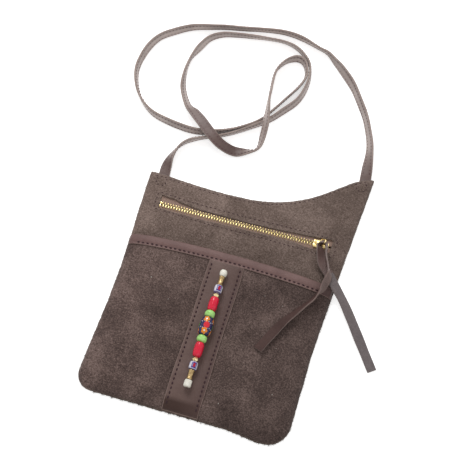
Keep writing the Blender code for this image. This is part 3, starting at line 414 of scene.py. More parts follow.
def corner_inset(rise, radius):
    rise = np.clip(rise, 0.0, radius)
    return radius - np.sqrt(radius ** 2 - (radius - rise) ** 2)


def left_x(y):
    wave = np.sin(np.pi * np.clip((y - LOWER_Y) / BAG_HEIGHT, 0.0, 1.0)) ** 2
    return -BAG_WIDTH / 2 + LEFT_WAIST * wave + corner_inset(y - LOWER_Y, LEFT_CORNER_RADIUS)


def right_x(y):
    lean = np.clip((y - LEAN_FROM_Y) / (UPPER_Y + SWOOP_RISE - LEAN_FROM_Y), 0.0, 1.0) ** 1.2
    inset = corner_inset(y - LOWER_Y + CORNER_DROOP, RIGHT_CORNER_RADIUS)
    return BAG_WIDTH / 2 - RIGHT_TUCK + RIGHT_LEAN * lean - inset


def side_distance(x, y):
    return np.minimum(x - left_x(y), right_x(y) - x)


def ripple(x, y, seeds):
    """Smooth waves of unit size from a few crossing sines."""
    total = 0.0
    for kx, ky, phase in seeds:
        total = total + np.sin(kx * x + ky * y + phase)
    return total / len(seeds)


BODY_WAVES = ((62, 25, 0.4), (-38, 71, 1.9), (110, -54, 3.1), (24, 128, 5.0))
POCKET_WAVES = ((55, 38, 2.2), (-71, 60, 0.7), (97, 20, 4.4), (33, -115, 1.2), (-150, -88, 3.6))


def zip_offset(x, y):
    return y - ZIP_Y - x * math.tan(ZIP_SLOPE)


def body_wave(x, y):
    """Slack in the front panel, none beside the zip or under the pocket."""
    clear = smooth((np.abs(zip_offset(x, y)) - 0.011) / 0.012)
    clear = np.maximum(clear, smooth((x - 0.093) / 0.008) + smooth((-x - 0.086) / 0.008))
    inside = roll_off(side_distance(x, y), 0.02)
    above_pocket = smooth((y - 0.046) / 0.01)
    return BODY_SLACK * ripple(x, y, BODY_WAVES) * np.clip(clear, 0, 1) * inside * above_pocket


def front_under(x, y):
    """The front panel's underside, level at its edges and puffed up more round the zip."""
    puff = lerp(LOWER_PUFF, ZIP_PUFF, smooth((y - PUFF_STEP_FROM) / (PUFF_STEP_TO - PUFF_STEP_FROM)))
    inside = roll_off(side_distance(x, y), EDGE_ROLL)
    inside = inside * roll_off(y - bottom_y(x), EDGE_ROLL) * roll_off(top_y(x) - y, EDGE_ROLL)
    return FRONT_EDGE_Z + puff * inside


def front_show(x, y):
    """The panel's underside with its slack and the swellings over the strap's ends."""
    swell = 0.0
    for centre in (STRAP_END_LEFT_MM[0] / 1000, STRAP_END_RIGHT_MM[0] / 1000 - 0.0003):
        swell = swell + np.exp(-((x - centre) / 0.0085) ** 4) * smooth((y - top_y(x) + 0.015) / 0.009)
    return front_under(x, y) + body_wave(x, y) + STRAP_SWELL * swell


def mouth_y(x):
    return MOUTH_SIDE_Y + MOUTH_BOW * (1 - (2 * x / BAG_WIDTH) ** 2)


def pocket_wave(x, y):
    """Dents and swells of the soft pocket, none under the band or at the binding."""
    clear = smooth((np.abs(x) - STRIP_WIDTH / 2) / 0.018) * smooth((mouth_y(x) - 0.010 - y) / 0.02)
    inside = roll_off(side_distance(x, y), 0.03) * roll_off(y - bottom_y(x), 0.02)
    dents = 0.0
    for centre_x, centre_y, wide, high, deep in POCKET_DENTS:
        dents = dents - deep * hump(x - centre_x, wide) * hump(y - centre_y, high)
    return (POCKET_SLACK * ripple(x, y, POCKET_WAVES) * clear + dents * clear) * inside


def pocket_under(x, y):
    inside = roll_off(side_distance(x, y), POCKET_ROLL) * roll_off(y - bottom_y(x), POCKET_ROLL)
    depth = mouth_y(x) - y
    lift = smooth((MOUTH_LIFT_FROM - depth) / (MOUTH_LIFT_FROM - MOUTH_LIFT_TO))
    lift = lift * (SMOOTH_LEATHER + BINDING_GAP)
    return front_under(x, y) + SUEDE + LAYER_GAP + lift + POCKET_PUFF * inside


def pocket_show(x, y):
    return pocket_under(x, y) + pocket_wave(x, y)


def pocket_top(x, y):
    return pocket_under(x, y) + SUEDE


# Mesh builders

def finish_mesh(name, vertices, faces, looks, angle=50, indices=None):
    mesh = bpy.data.meshes.new(name)
    mesh.from_pydata([tuple(v) for v in vertices], [], [tuple(f) for f in faces])
    mesh.shade_smooth()
    mesh.set_sharp_from_angle(angle=math.radians(angle))
    for look in looks if isinstance(looks, (list, tuple)) else [looks]:
        mesh.materials.append(look)
    if indices is not None:
        mesh.polygons.foreach_set("material_index", np.asarray(indices, np.int32))
    made = bpy.data.objects.new(name, mesh)
    bpy.context.scene.collection.objects.link(made)
    return made


def slab(name, xs, ys, low, thickness, looks, keep=None, fray=0.0):
    """A sheet from a grid of plan points: two faces and a rounded rim, looks[1] on the rim."""
    rows, columns = xs.shape
    index = np.arange(rows * columns).reshape(rows, columns)
    corners = np.stack([index[:-1, :-1], index[:-1, 1:], index[1:, 1:], index[1:, :-1]], -1)
    corners = corners.reshape(-1, 4) if keep is None else corners[keep]
    bottom = np.stack([xs, ys, low], -1).reshape(-1, 3)
    count = len(bottom)
    vertices = [*bottom, *(bottom + np.array([0, 0, thickness]))]
    faces = [*(corners + count).tolist(), *corners[:, ::-1].tolist()]
    flat = len(faces)
    edges = [pair for quad in corners.tolist() for pair in zip(quad, quad[1:] + quad[:1])]
    shared = set(edges)
    following = {a: b for a, b in edges if (b, a) not in shared}
    previous = {b: a for a, b in following.items()}
    steps = 4
    rim = {}
    for a, b in following.items():
        run = bottom[b, :2] - bottom[previous[a], :2]
        out = np.array([run[1], -run[0], 0.0]) / max(np.linalg.norm(run), 1e-9)
        push = 1 + (RNG.random() - 0.5) * fray
        rim[a] = [a]
        for i in range(1, steps):
            turn = math.pi * i / steps - math.pi / 2
            rim[a].append(len(vertices))
            vertices.append(bottom[a] + out * (thickness / 2 * math.cos(turn) * push)
                            + np.array([0, 0, thickness / 2 * (1 + math.sin(turn))]))
        rim[a].append(a + count)
    for a, b in following.items():
        for i in range(steps):
            faces.append([rim[a][i], rim[b][i], rim[b][i + 1], rim[a][i + 1]])
    vertices = np.array(vertices)
    used = np.unique(np.array(faces))
    renumber = np.full(len(vertices), -1)
    renumber[used] = np.arange(len(used))
    indices = [0] * flat + [1] * (len(faces) - flat)
    return finish_mesh(name, vertices[used], renumber[np.array(faces)].tolist(), looks, 70, indices)


def loft(sections):
    """Bridges equal sections in turn and closes both ends; sections is stations x points x 3."""
    sections = np.asarray(sections, float)
    stations, count = sections.shape[:2]
    base = np.arange(stations * count).reshape(stations, count)
    after = np.roll(base, -1, axis=1)
    faces = np.stack([base[:-1], after[:-1], after[1:], base[1:]], -1).reshape(-1, 4).tolist()
    faces += [base[0][::-1].tolist(), base[-1].tolist()]
    return sections.reshape(-1, 3), faces


def merge(pieces):
    """The points and faces of several lofts as one."""
    vertices, faces = [], []
    for part_vertices, part_faces in pieces:
        base = len(vertices)
        vertices += [tuple(v) for v in part_vertices]
        faces += [tuple(int(i) + base for i in face) for face in part_faces]
    return vertices, faces


def sweep(name, sections, looks, closed_ends=True, angle=50, indices=None):
    """A piece lofted through its sections, with a look for each face round a section."""
    vertices, faces = loft(sections)
    marks = None
    if indices is not None:
        marks = [*np.tile(indices, len(sections) - 1), max(indices), max(indices)]
    if not closed_ends:
        faces = faces[:-2]
    return finish_mesh(name, vertices, faces, looks, angle, marks)


def unit(vectors):
    return vectors / np.linalg.norm(vectors, axis=-1, keepdims=True)


def walk(points):
    """How far along their line the points are."""
    return np.concatenate([[0], np.cumsum(np.linalg.norm(np.diff(points, axis=0), axis=1))])


def circle(count):
    """Equal turns round a circle."""
    return np.arange(count) * 2 * np.pi / count


def rounded_square(power):
    """Twelve corners of a square with rounded edges, from -1 to 1 both ways."""
    turns = (2 * math.pi * (i + 0.5) / 12 for i in range(12))
    return [tuple(math.copysign(abs(v) ** power, v) for v in (math.cos(turn), math.sin(turn)))
            for turn in turns]


def smooth_route(route_mm, count):
    """count evenly spaced stations on a Catmull-Rom curve through the route, and their leans."""
    knots = np.array(route_mm, float)
    knots = np.vstack([2 * knots[0] - knots[1], knots, 2 * knots[-1] - knots[-2]])
    fine = []
    for p0, p1, p2, p3 in zip(knots, knots[1:], knots[2:], knots[3:]):
        for t in np.arange(24) / 24:
            fine.append(0.5 * (2 * p1 + (p2 - p0) * t + (2 * p0 - 5 * p1 + 4 * p2 - p3) * t ** 2
                               + (3 * p1 - p0 - 3 * p2 + p3) * t ** 3))
    fine = np.array(fine + [knots[-2]])
    walked = walk(fine[:, :3])
    goal = np.linspace(0, walked[-1], count)
    even = np.stack([np.interp(goal, walked, fine[:, i]) for i in range(4)], -1)
    return even[:, :3] / 1000, np.radians(even[:, 3]), goal / 1000


def ribbon_frames(points, leans):
    """Across and face directions of a flat band; lean 0 stands on edge, 90 degrees lies flat."""
    ahead = unit(np.gradient(points, axis=0))
    level = unit(np.cross(ahead, [0, 0, 1.0]))
    rise = np.cross(level, ahead)
    across = level * np.sin(leans)[:, None] + rise * np.cos(leans)[:, None]
    return across, unit(np.cross(across, ahead))


def rounded_strip(width, thickness, radius, steps, middle):
    """Section of a band as (across, face) pairs, with rounded edges."""
    points = []
    for sx, sy, start in ((1, 1, 0), (-1, 1, 90), (-1, -1, 180), (1, -1, 270)):
        for i in range(steps + 1):
            turn = math.radians(start + 90 * i / steps)
            points.append((sx * (width / 2 - radius) + radius * math.cos(turn),
                           sy * (thickness / 2 - radius) + radius * math.sin(turn)))
    section = []
    for (x, y), (next_x, _) in zip(points, points[1:] + points[:1]):
        section.append((x, y))
        if abs(x - next_x) > width / 2:
            section += [(lerp(x, next_x, j / (middle + 1)), y) for j in range(1, middle + 1)]
    return np.array(section)


def stitches(name, lines, look, pitch=STITCH_PITCH, length=STITCH_LENGTH, radius=THREAD_RADIUS, lift=0.6):
    """Rows of saddle stitches: each line is (points, ups), and every stitch dives at both ends."""
    rise = np.array([-0.9, 0.1, lift, 0.1, -0.9]) * radius
    size = np.array([0.7, 1.0, 1.05, 1.0, 0.7]) * radius
    turns = circle(6)[None, :, None]
    threads = []
    for points, ups in lines:
        walked = walk(points)
        number = max(1, int((walked[-1] - length) / pitch) + 1)
        start = (walked[-1] - (number - 1) * pitch - length) / 2
        for i in range(number):
            s = start + i * pitch + np.linspace(0, 1, len(rise)) * length
            centre, up = (np.stack([np.interp(s, walked, line[:, k]) for k in range(3)], -1)
                          for line in (points, ups))
            up = unit(up)
            side = np.cross(up, unit(centre[-1] - centre[0]))
            centre = centre + up * rise[:, None] + side * (RNG.random() - 0.5) * radius * 0.3
            threads.append(loft(centre[:, None] + size[:, None, None] * (
                side[:, None] * np.cos(turns) + up[:, None] * 0.9 * np.sin(turns))))
    made = finish_mesh(name, *merge(threads), look, 60)
    return made


def surface_line(xs, ys, height, offset=0.0):
    """A stitch row on a height function, with the surface's own normals."""
    step = 0.0004
    z = height(xs, ys)
    dx = (height(xs + step, ys) - height(xs - step, ys)) / (2 * step)
    dy = (height(xs, ys + step) - height(xs, ys - step)) / (2 * step)
    ups = unit(np.stack([-dx, -dy, np.ones_like(z)], -1))
    return np.stack([xs, ys, z], -1) + ups * offset, ups


def zip_to_row(x, y):
    c, s = math.cos(ZIP_SLOPE), math.sin(ZIP_SLOPE)
    return x * c - y * s, ZIP_Y + x * s + y * c


def to_row(points):
    """Zip-line points with z from the tape's middle, in the row frame."""
    points = np.asarray(points, float)
    x, y = zip_to_row(points[..., 0], points[..., 1])
    return np.stack([x, y, points[..., 2] + TAPE_Z], -1)


# The camera and the strap come first

def camera():
    made = bpy.data.cameras.new("camera")
    made.sensor_width, made.lens = 36.0, CAMERA_LENS_MM
    level = math.cos(CAMERA_UP)
    back = Vector((math.sin(CAMERA_ROUND) * level, -math.cos(CAMERA_ROUND) * level, math.sin(CAMERA_UP)))
    holder = bpy.data.objects.new("camera", made)
    holder.location = Vector(CAMERA_AIM) + back * CAMERA_DISTANCE
    holder.rotation_euler = back.to_track_quat("Z", "Y").to_euler()
    bpy.context.scene.collection.objects.link(holder)
    bpy.context.scene.camera = holder


def strap(looks):
    """The folded strap, sewn along both edges; its ends run in between the panels."""
    whole = (STRAP_END_LEFT_MM,) + STRAP_ROUTE_MM + (STRAP_END_RIGHT_MM,)
    route, leans, distance = smooth_route(whole, 440)
    across, face = ribbon_frames(route, leans)
    section = rounded_strip(STRAP_WIDTH, STRAP_THICKNESS, 0.0009, 3, 11)
    share = section[:, 0] / STRAP_WIDTH
    # Both stitch rows press a groove into the faces
    groove = hump(share - STRAP_ROWS[0], 0.05) + 0.6 * hump(share - STRAP_ROWS[1], 0.04)
    section[:, 1] -= np.sign(section[:, 1]) * 0.00022 * groove
    # The faces bend a little, and the ends are squeezed flat where they are sewn in
    bend = 0.00035 * np.sin(distance * 61 + 0.5) + 0.0002 * np.sin(distance * 173 + 1.1)
    reach = np.minimum(distance, distance[-1] - distance)
    thin = lerp(STRAP_SEWN, 1, smooth((reach - 0.003) / 0.009))
    cup = (section[None, :, 0] / (STRAP_WIDTH / 2)) ** 2
    depth = section[None, :, 1] * thin[:, None] + bend[:, None] * cup
    rings = route[:, None] + across[:, None] * section[None, :, :1] + face[:, None] * depth[..., None]
    edge = (np.abs((section[:, 0] + np.roll(section[:, 0], -1)) / 2) > STRAP_WIDTH / 2 - 0.0004).astype(int)
    made = sweep("strap", rings, [looks["strap"], looks["strap_edge"]], indices=edge)
    # The face is painted pale where the strap stands on its edge: painted sheen standing in for the
    # reflection of the bright surroundings, mixed with wear
    on_edge = np.cos(leans) ** 2
    wear = np.interp(distance, *np.array(STRAP_SHEEN_AND_WEAR).T)
    standing_sheen = on_edge * smooth((reach - 0.010) / 0.04) * wear
    # Paler below the upper stitch row, and a thin painted contact shade darkens the lower edge
    band = 0.62 + 0.38 * smooth((0.24 - share) / 0.10) - 0.5 * smooth((-0.40 - share) / 0.06)
    mottle = 1 + 0.10 * np.sin(distance * 210 + 1.3) + 0.08 * np.sin(distance * 87 + 4.0)
    # Flat stretches turn a little paler further up the bag
    flat = 0.20 * smooth((route[:, 1] - 0.158) / 0.02) * (1 - on_edge)
    sheen_and_wear = np.clip(standing_sheen[:, None] * band[None, :] * mottle[:, None] + flat[:, None], 0, 1)
    layer = made.data.attributes.new("sheen_and_wear", "FLOAT", "POINT")
    layer.data.foreach_set("value", sheen_and_wear.astype(np.float32).reshape(-1))
    lines = []
    for row in STRAP_ROWS:
        for out in (1, -1):
            lift = (STRAP_THICKNESS / 2 * thin - 0.0002)[:, None]
            path = route + across * (row * STRAP_WIDTH) + face * out * lift
            lines.append((path[4:-4], face[4:-4] * out))
    thread = stitches("strap_stitches", lines, looks["strap_thread"], 0.0034, 0.0019, 0.0004)
    for piece in (made, thread):
        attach(piece, "bag")
    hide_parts("shoulder_strap")


# Leather panels

def spread(length, spacing, edges=(0.0, 0.0005, 0.0013, 0.0024, 0.004, 0.006)):
    """Fractions 0 to 1, crowded at both ends."""
    middle = edges[-1]
    count = max(2, round((length - 2 * middle) / spacing))
    inner = np.linspace(middle, length - middle, count + 1)[1:-1]
    return np.concatenate([edges, inner, length - np.array(edges[::-1])]) / length


def grid(level, columns):
    """Plan points of one row, which follows level(x) while the columns keep to the sides."""
    ys = level(np.zeros_like(columns))
    for _ in range(6):
        xs = lerp(left_x(ys), right_x(ys), columns)
        ys = level(xs)
    return xs, ys


def between(low, high, shares):
    """Level lines at shares of the way from one line to another."""
    return [lambda x, share=share: lerp(low(x), high(x), share) for share in shares]


def plan(levels, columns):
    """Plan points of a whole panel, a row for each level line."""
    return np.stack([grid(level, columns) for level in levels], 1)


def window_edge(edge_mm, sign):
    """Height of a window edge at x, eased between its points."""
    table = np.array(edge_mm, float) / 1000
    fine_x = np.linspace(table[0, 0], table[-1, 0], 200)
    which = np.clip(np.searchsorted(table[:, 0], fine_x) - 1, 0, len(table) - 2)
    share = smooth((fine_x - table[which, 0]) / (table[which + 1, 0] - table[which, 0]))
    fine_y = lerp(table[which, 1], table[which + 1, 1], share)
    row_x, row_y = zip_to_row(fine_x, sign * fine_y)
    return lambda x: np.interp(x, row_x, row_y)


WINDOW_TOP = window_edge(WINDOW_TOP_MM, 1)
WINDOW_LOW = window_edge(WINDOW_LOW_MM, -1)


def front(looks):
    """The front panel with the zip's window cut out of it, and its stitching."""
    columns = spread(BAG_WIDTH, 0.0022)
    for end in (WINDOW_LEFT, WINDOW_RIGHT):
        at = (end * math.cos(ZIP_SLOPE) - left_x(ZIP_Y)) / (right_x(ZIP_Y) - left_x(ZIP_Y))
        columns[np.argmin(np.abs(columns - at))] = at
    below = spread(0.18, 0.0024, (0.0, 0.0005, 0.0013, 0.0026, 0.0045, 0.007))[:-5]
    above = [0, 0.012, 0.03, *np.linspace(0, 1, 24)[:-1], 0.975, 0.988, 0.996, 1.0]
    levels = between(bottom_y, WINDOW_LOW, (*below, 0.985, 0.995, 1.0))
    low_row = len(levels) - 1
    levels += between(WINDOW_LOW, WINDOW_TOP, (0.25, 0.5, 0.75))
    top_row = len(levels)
    levels += between(WINDOW_TOP, top_y, np.unique(np.round(above, 4)))
    xs, ys = plan(levels, columns)
    keep = np.ones((len(levels) - 1, len(columns) - 1), bool)
    left, right = (int(np.argmin(np.abs(xs[low_row] - end))) for end in (WINDOW_LEFT, WINDOW_RIGHT))
    keep[low_row:top_row, left:right] = False
    # The cut edges of the window lift a little off the tape
    lip = np.minimum(np.abs(ys - WINDOW_LOW(xs)), np.abs(ys - WINDOW_TOP(xs)))
    inside = smooth((xs - WINDOW_LEFT + 0.002) / 0.004) * smooth((WINDOW_RIGHT + 0.002 - xs) / 0.004)
    low = front_show(xs, ys) + 0.00035 * hump(lip, 0.0012) * inside
    made = slab("front", xs, ys, low, SUEDE, [looks["suede"], looks["suede_rim"]], keep, 0.8)
    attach(made, "bag")
    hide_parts("front_panel")

    def row(a, b, count, placed):
        share = np.linspace(0, 1, count)
        x, y = placed(lerp(a[0], b[0], share), lerp(a[1], b[1], share))
        return surface_line(x, y, show, -0.0001)

    # Stitches of the top hem, of the box round the window and of the boxes that hold the strap
    show = lambda x, y: front_show(x, y) + SUEDE
    along = np.linspace(-0.0915, 0.1005, 240)
    lines = [surface_line(along, top_y(along) - 0.0034, show, -0.0001)]
    lines += [row(a, b, 60, zip_to_row) for a, b in zip(WINDOW_BOX, WINDOW_BOX[1:])]
    for centre_x, centre_y, turn in STRAP_BOXES:
        cos, sin, size = math.cos(turn), math.sin(turn), 0.0045
        placed = lambda x, y: (centre_x + x * cos - y * sin, centre_y + x * sin + y * cos)
        box = [(-size, size), (-size, -size), (size, -size), (size, size)]
        lines += [row(a, b, 30, placed) for a, b in zip(box, box[1:])]
    thread = stitches("front_stitches", lines, looks["thread"])
    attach(thread, "bag")


def back(looks):
    xs, ys = plan(between(bottom_y, top_y, spread(BAG_HEIGHT, 0.004)), spread(BAG_WIDTH, 0.004))
    made = slab("back", xs, ys, np.zeros_like(xs), SUEDE, [looks["suede"], looks["suede_rim"]], fray=0.8)
    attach(made, "bag")
    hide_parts("back_panel")


def pocket(looks):
    xs, ys = plan(between(bottom_y, mouth_y, spread(0.152, 0.0022)), spread(BAG_WIDTH, 0.0022))
    made = slab("pocket", xs, ys, pocket_show(xs, ys), SUEDE, [looks["pocket"], looks["pocket_rim"]],
                fray=0.9)
    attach(made, "bag")
    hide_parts("pocket_panel")


def binding(looks):
    """Leather folded over the pocket's mouth, with a puff above its row of stitches."""
    shares = spread(BAG_WIDTH, 0.0016)
    y_low = MOUTH_SIDE_Y - BINDING_DEPTH
    x, low_x = (lerp(left_x(y), right_x(y), shares) for y in (MOUTH_SIDE_Y, y_low))
    edge, low_y = mouth_y(x), mouth_y(low_x) - BINDING_DEPTH
    thick = SMOOTH_LEATHER
    outline = []

    def leg(levels, surface, offset, puff):
        for share in levels:
            px, py = lerp(x, low_x, share), lerp(edge, low_y, share)
            swell = puff * (0.00045 * np.sin(np.pi * np.clip(share / 0.75, 0, 1))
                            - 0.00030 * hump(share - BINDING_ROW, 0.07))
            tuck = puff * 0.00012 * np.sin(2 * np.pi * px / STITCH_PITCH) * hump(share - BINDING_ROW, 0.15)
            outline.append(np.stack([px, py, surface(px, py) + offset + swell + tuck], -1))

    down = [1.0, 0.985, 0.93, 0.86, BINDING_ROW, 0.72, 0.6, 0.45, 0.3, 0.16, 0.06]
    leg(down, pocket_top, BINDING_GAP + thick, 1.0)
    outline[0][:, 2] -= thick * 0.45
    outline[0][:, 1] -= 0.0002
    # Round the fold, down the hidden side and back along the inner faces of both legs
    middle = (pocket_under(x, edge) + pocket_top(x, edge)) / 2
    half = SUEDE / 2 + BINDING_GAP + thick
    for i in range(1, 8):
        turn = math.pi * i / 8
        outline.append(np.stack([x, edge + BINDING_GAP + thick * 1.1 * math.sin(turn),
                                 middle + half * math.cos(turn)], -1))
    leg(down[::-1][1:], pocket_under, -BINDING_GAP - thick, 0.0)
    leg(down[1::3], pocket_under, -BINDING_GAP, 0.0)
    leg(down[::-1][1::3], pocket_top, BINDING_GAP, 0.0)
    rings = np.stack(outline, 1)
    marks = np.zeros(rings.shape[1], int)
    marks[0] = marks[-1] = 1
    made = sweep("binding", rings, [looks["trim"], looks["trim_edge"]], indices=marks)
    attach(made, "bag")
    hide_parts("pocket_binding")
    xs = np.linspace(x[6], x[-7], 300)
    top = lambda a, b: pocket_top(a, b) + BINDING_GAP + thick - 0.0003
    line = surface_line(xs, mouth_y(xs) - BINDING_ROW * BINDING_DEPTH, top, 0.0001)
    thread = stitches("binding_stitches", [line], looks["thread"], length=0.0030, radius=0.0006, lift=0.9)
    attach(thread, "bag")


def band(looks):
    """The smooth band down the pocket's middle, with a groove along each row of stitches."""
    half, row = STRIP_WIDTH / 2, 0.0024
    columns = np.concatenate([[0, 0.0004, 0.001], np.linspace(0.0018, STRIP_WIDTH - 0.0018, 34),
                              STRIP_WIDTH - np.array([0.001, 0.0004, 0])]) - half
    lower, upper = LOWER_Y + 0.0001, -BINDING_DEPTH - LAYER_GAP
    rows = np.concatenate([np.linspace(0, 0.03, 16), np.linspace(0.03, 1, 80)[1:]])
    xs = np.tile(columns, (len(rows), 1))
    ys = np.array([lerp(lower, mouth_y(columns) + upper, share) for share in rows])
    xs = xs + 0.00035 * np.sin(ys * 70 + 1.0) * np.sign(xs) * smooth(np.abs(xs) / half)
    inset = half - np.abs(xs)
    groove = -0.00028 * hump(inset - row, 0.0007)
    pinch = 0.00008 * np.sin(2 * np.pi * ys / STITCH_PITCH) * hump(inset - row, 0.0012)
    sag = -0.00010 * smooth(inset / half)
    low = pocket_top(xs, ys) + LAYER_GAP + groove + pinch + sag
    made = slab("band", xs, ys, low, STRIP_LEATHER, [looks["band"], looks["trim_edge"]])
    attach(made, "bag")
    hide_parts("centre_strip")
    line = np.linspace(lower + 0.003, mouth_y(0.013) + upper - 0.001, 300)
    top = lambda a, b: pocket_top(a, b) + LAYER_GAP + STRIP_LEATHER - 0.0003
    lines = [surface_line(np.full_like(line, side * (half - row)), line, top, 0.0001) for side in (1, -1)]
    thread = stitches("band_stitches", lines, looks["thread"], length=0.0030, radius=0.0006, lift=0.9)
    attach(thread, "bag")


# Zip

def tapes(looks):
    """Both zip tapes, each with a cord along its inner edge, and their teeth."""
    inner = CHAIN_WIDTH / 2 - 0.0015
    half, cord = 0.0003, 0.0007
    above = [(inner + 0.0130, half), (inner + 0.0035, half), (inner + 0.0010, half + 0.0001)]
    turns = [math.radians(50 + 260 * i / 6) for i in range(7)]
    section = above + [(inner + cord * math.cos(turn), cord * math.sin(turn)) for turn in turns]
    across, high = np.array(section + [(y, -z) for y, z in above[::-1]]).T
    xs = np.linspace(WINDOW_LEFT + 0.0003, WINDOW_RIGHT - 0.0003, 120)[:, None]
    for label, side in (("upper", 1), ("lower", -1)):
        rings = to_row(np.stack(np.broadcast_arrays(xs, side * across, high), -1))
        made = sweep("zip_tape_" + label, rings if side < 0 else rings[:, ::-1], looks["tape"])
        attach(made, "bag")
        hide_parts("zip_" + label + "_half")
        teeth = tooth_row("zip_teeth_" + label, side, looks)
        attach(teeth, "bag")
        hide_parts("zip_" + label + "_half")


def bottom_stop(looks):
    """A small clip squeezed over both tapes below the first teeth."""
    sections = []
    for y, x, z in ((-3.0, 0.30, 0.5), (-2.7, 0.50, 0.9), (-1.4, 0.55, 1.15), (-0.5, 0.5, 0.95),
                    (0.5, 0.5, 0.95), (1.4, 0.55, 1.15), (2.7, 0.50, 0.9), (3.0, 0.30, 0.5)):
        sections.append([(CHAIN_LEFT - 0.0016 + x / 1000 * cx, y / 1000, z / 1000 * cz)
                         for cx, cz in rounded_square(0.6)])
    vertices, faces = loft(sections)
    made = finish_mesh("zip_bottom_clip", to_row(vertices), faces, looks["brass"], 40)
    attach(made, "bag")
    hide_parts("zip_bottom_stop")


def tooth_row(name, side, looks):
    """Bars clamped on the tape's cord, each with a raised nub where it meshes."""
    thick, high, root = TOOTH_PITCH / 2 - 0.0003, TOOTH_HEIGHT / 2, CHAIN_WIDTH / 2
    stations = ((root, 0.50, 0.60), (root - 0.0003, 0.80, 0.95), (root - 0.0008, 0.96, 1.12),
                (0.0014, 0.94, 1.12), (0.0008, 0.84, 1.0), (0.0002, 0.78, 0.94),
                (-0.0003, 0.74, 0.88), (-0.0006, 0.50, 0.66))
    corners = rounded_square(0.55)
    teeth = []
    for number in range(TOOTH_PAIRS):
        middle = CHAIN_LEFT + number * TOOTH_PITCH + (0.0 if side > 0 else TOOTH_PITCH / 2)
        vertices, faces = loft([[(middle + side * cx * thick / 2 * wide, side * y, cz * high * z)
                                 for cx, cz in corners] for y, z, wide in stations])
        teeth.append((vertices, [face[:1] + face[:0:-1] for face in faces]))
    vertices, faces = merge(teeth)
    return finish_mesh(name, to_row(vertices), faces, looks["teeth"], 40)


def slider(looks):
    """Shield-shaped plates with two domed lobes, flanges and a bridge."""
    front_x, rear = SLIDER_X + SLIDER_HALF, SLIDER_X - SLIDER_HALF
    top_z = SLIDER_TOP_Z - TAPE_Z
    along, across = np.meshgrid(np.linspace(0, 1, 26), np.linspace(-1, 1, 29), indexing="ij")
    px, py = lerp(rear, front_x, along), across * np.interp(along, *np.array(SLIDER_OUTLINE).T)
    # Each plate is domed over both lobes and rounded off towards its ends and sides
    dome = 0.00075 * np.sqrt(np.clip(1 - ((np.abs(py) - 0.0019) / 0.0018) ** 2, 0, 1))
    ends = np.clip(np.minimum(along, 1 - along) / 0.10, 0, 1)
    edge = np.clip((1 - np.abs(across)) / 0.22, 0, 1)
    rise = (dome - 0.00045) * np.sqrt(1 - (1 - ends) ** 2) - 0.00045 * (1 - np.sqrt(1 - (1 - edge) ** 2))
    count = px.size
    index = np.arange(count).reshape(px.shape)
    quads = np.stack([index[:-1, :-1], index[1:, :-1], index[1:, 1:], index[:-1, 1:]], -1).reshape(-1, 4)
    rim = [*index[0, :], *index[1:, -1], *index[-1, -2::-1], *index[-2:0:-1, 0]]
    pieces = []
    for sign in (1, -1):
        plate = np.concatenate([np.stack([px, py, sign * z], -1).reshape(-1, 3)
                                for z in (top_z + rise, np.full_like(rise, top_z - 0.0009))])
        faces = quads[:, ::sign].tolist() + (quads[:, ::-sign] + count).tolist()
        faces += [[i, j, j + count, i + count][::sign] for i, j in zip(rim, rim[1:] + rim[:1])]
        pieces.append((plate, faces))
    # Flanges along both sides of both plates
    for side in (1, -1):
        for sign in (1, -1):
            low, high = 0.0006 * sign, (top_z - 0.0006) * sign
            wall = []
            for x, y in ((rear + 0.0008, 0.0038), (rear + 0.0035, 0.0038),
                         (SLIDER_X + 0.001, 0.0042), (front_x - 0.0028, 0.0042)):
                outer, inner = side * y, side * (y - 0.0006)
                wall.append([(x, inner, low), (x, outer, low), (x, outer, high), (x, inner, high)])
            pieces.append(loft(wall))
    # The wedge that parts the teeth
    point, blunt = front_x - 0.0048, front_x - 0.0006
    pieces.append(loft([[(x, -w, -0.0018), (x, w, -0.0018), (x, w, 0.0018), (x, -w, 0.0018)]
                        for x, w in ((point, 0.0001), (point + 0.0017, 0.00075), (blunt, 0.00045))]))
    # The bridge that the ring hangs on, an arch with a faint ridge
    arch = []
    for x, z, w in SLIDER_BRIDGE_MM:
        angle = math.atan2(z - 0.3, x * 0.8)
        in_x, in_z = x - 0.9 * math.cos(angle), max(z - 0.9 * math.sin(angle), -0.6) if z > -0.5 else z
        ridge_x, ridge_z = x + 0.12 * math.cos(angle), z + 0.12
        arch.append([(SLIDER_X + a / 1000, way * w / 1000, top_z + b / 1000) for a, b, way in (
            (x, z, -1), (ridge_x, ridge_z, 0), (x, z, 1), (in_x, in_z, 1), (in_x, in_z, -1))])
    pieces.append(loft(arch))
    vertices, faces = merge(pieces)
    made = finish_mesh("zip_slider_body", to_row(vertices), faces, looks["brass"], 35)
    soften = made.modifiers.new("soften", "BEVEL")
    soften.width, soften.segments, soften.angle_limit = 0.00012, 2, math.radians(40)
    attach(made, "zip_slider")
    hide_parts("slider")


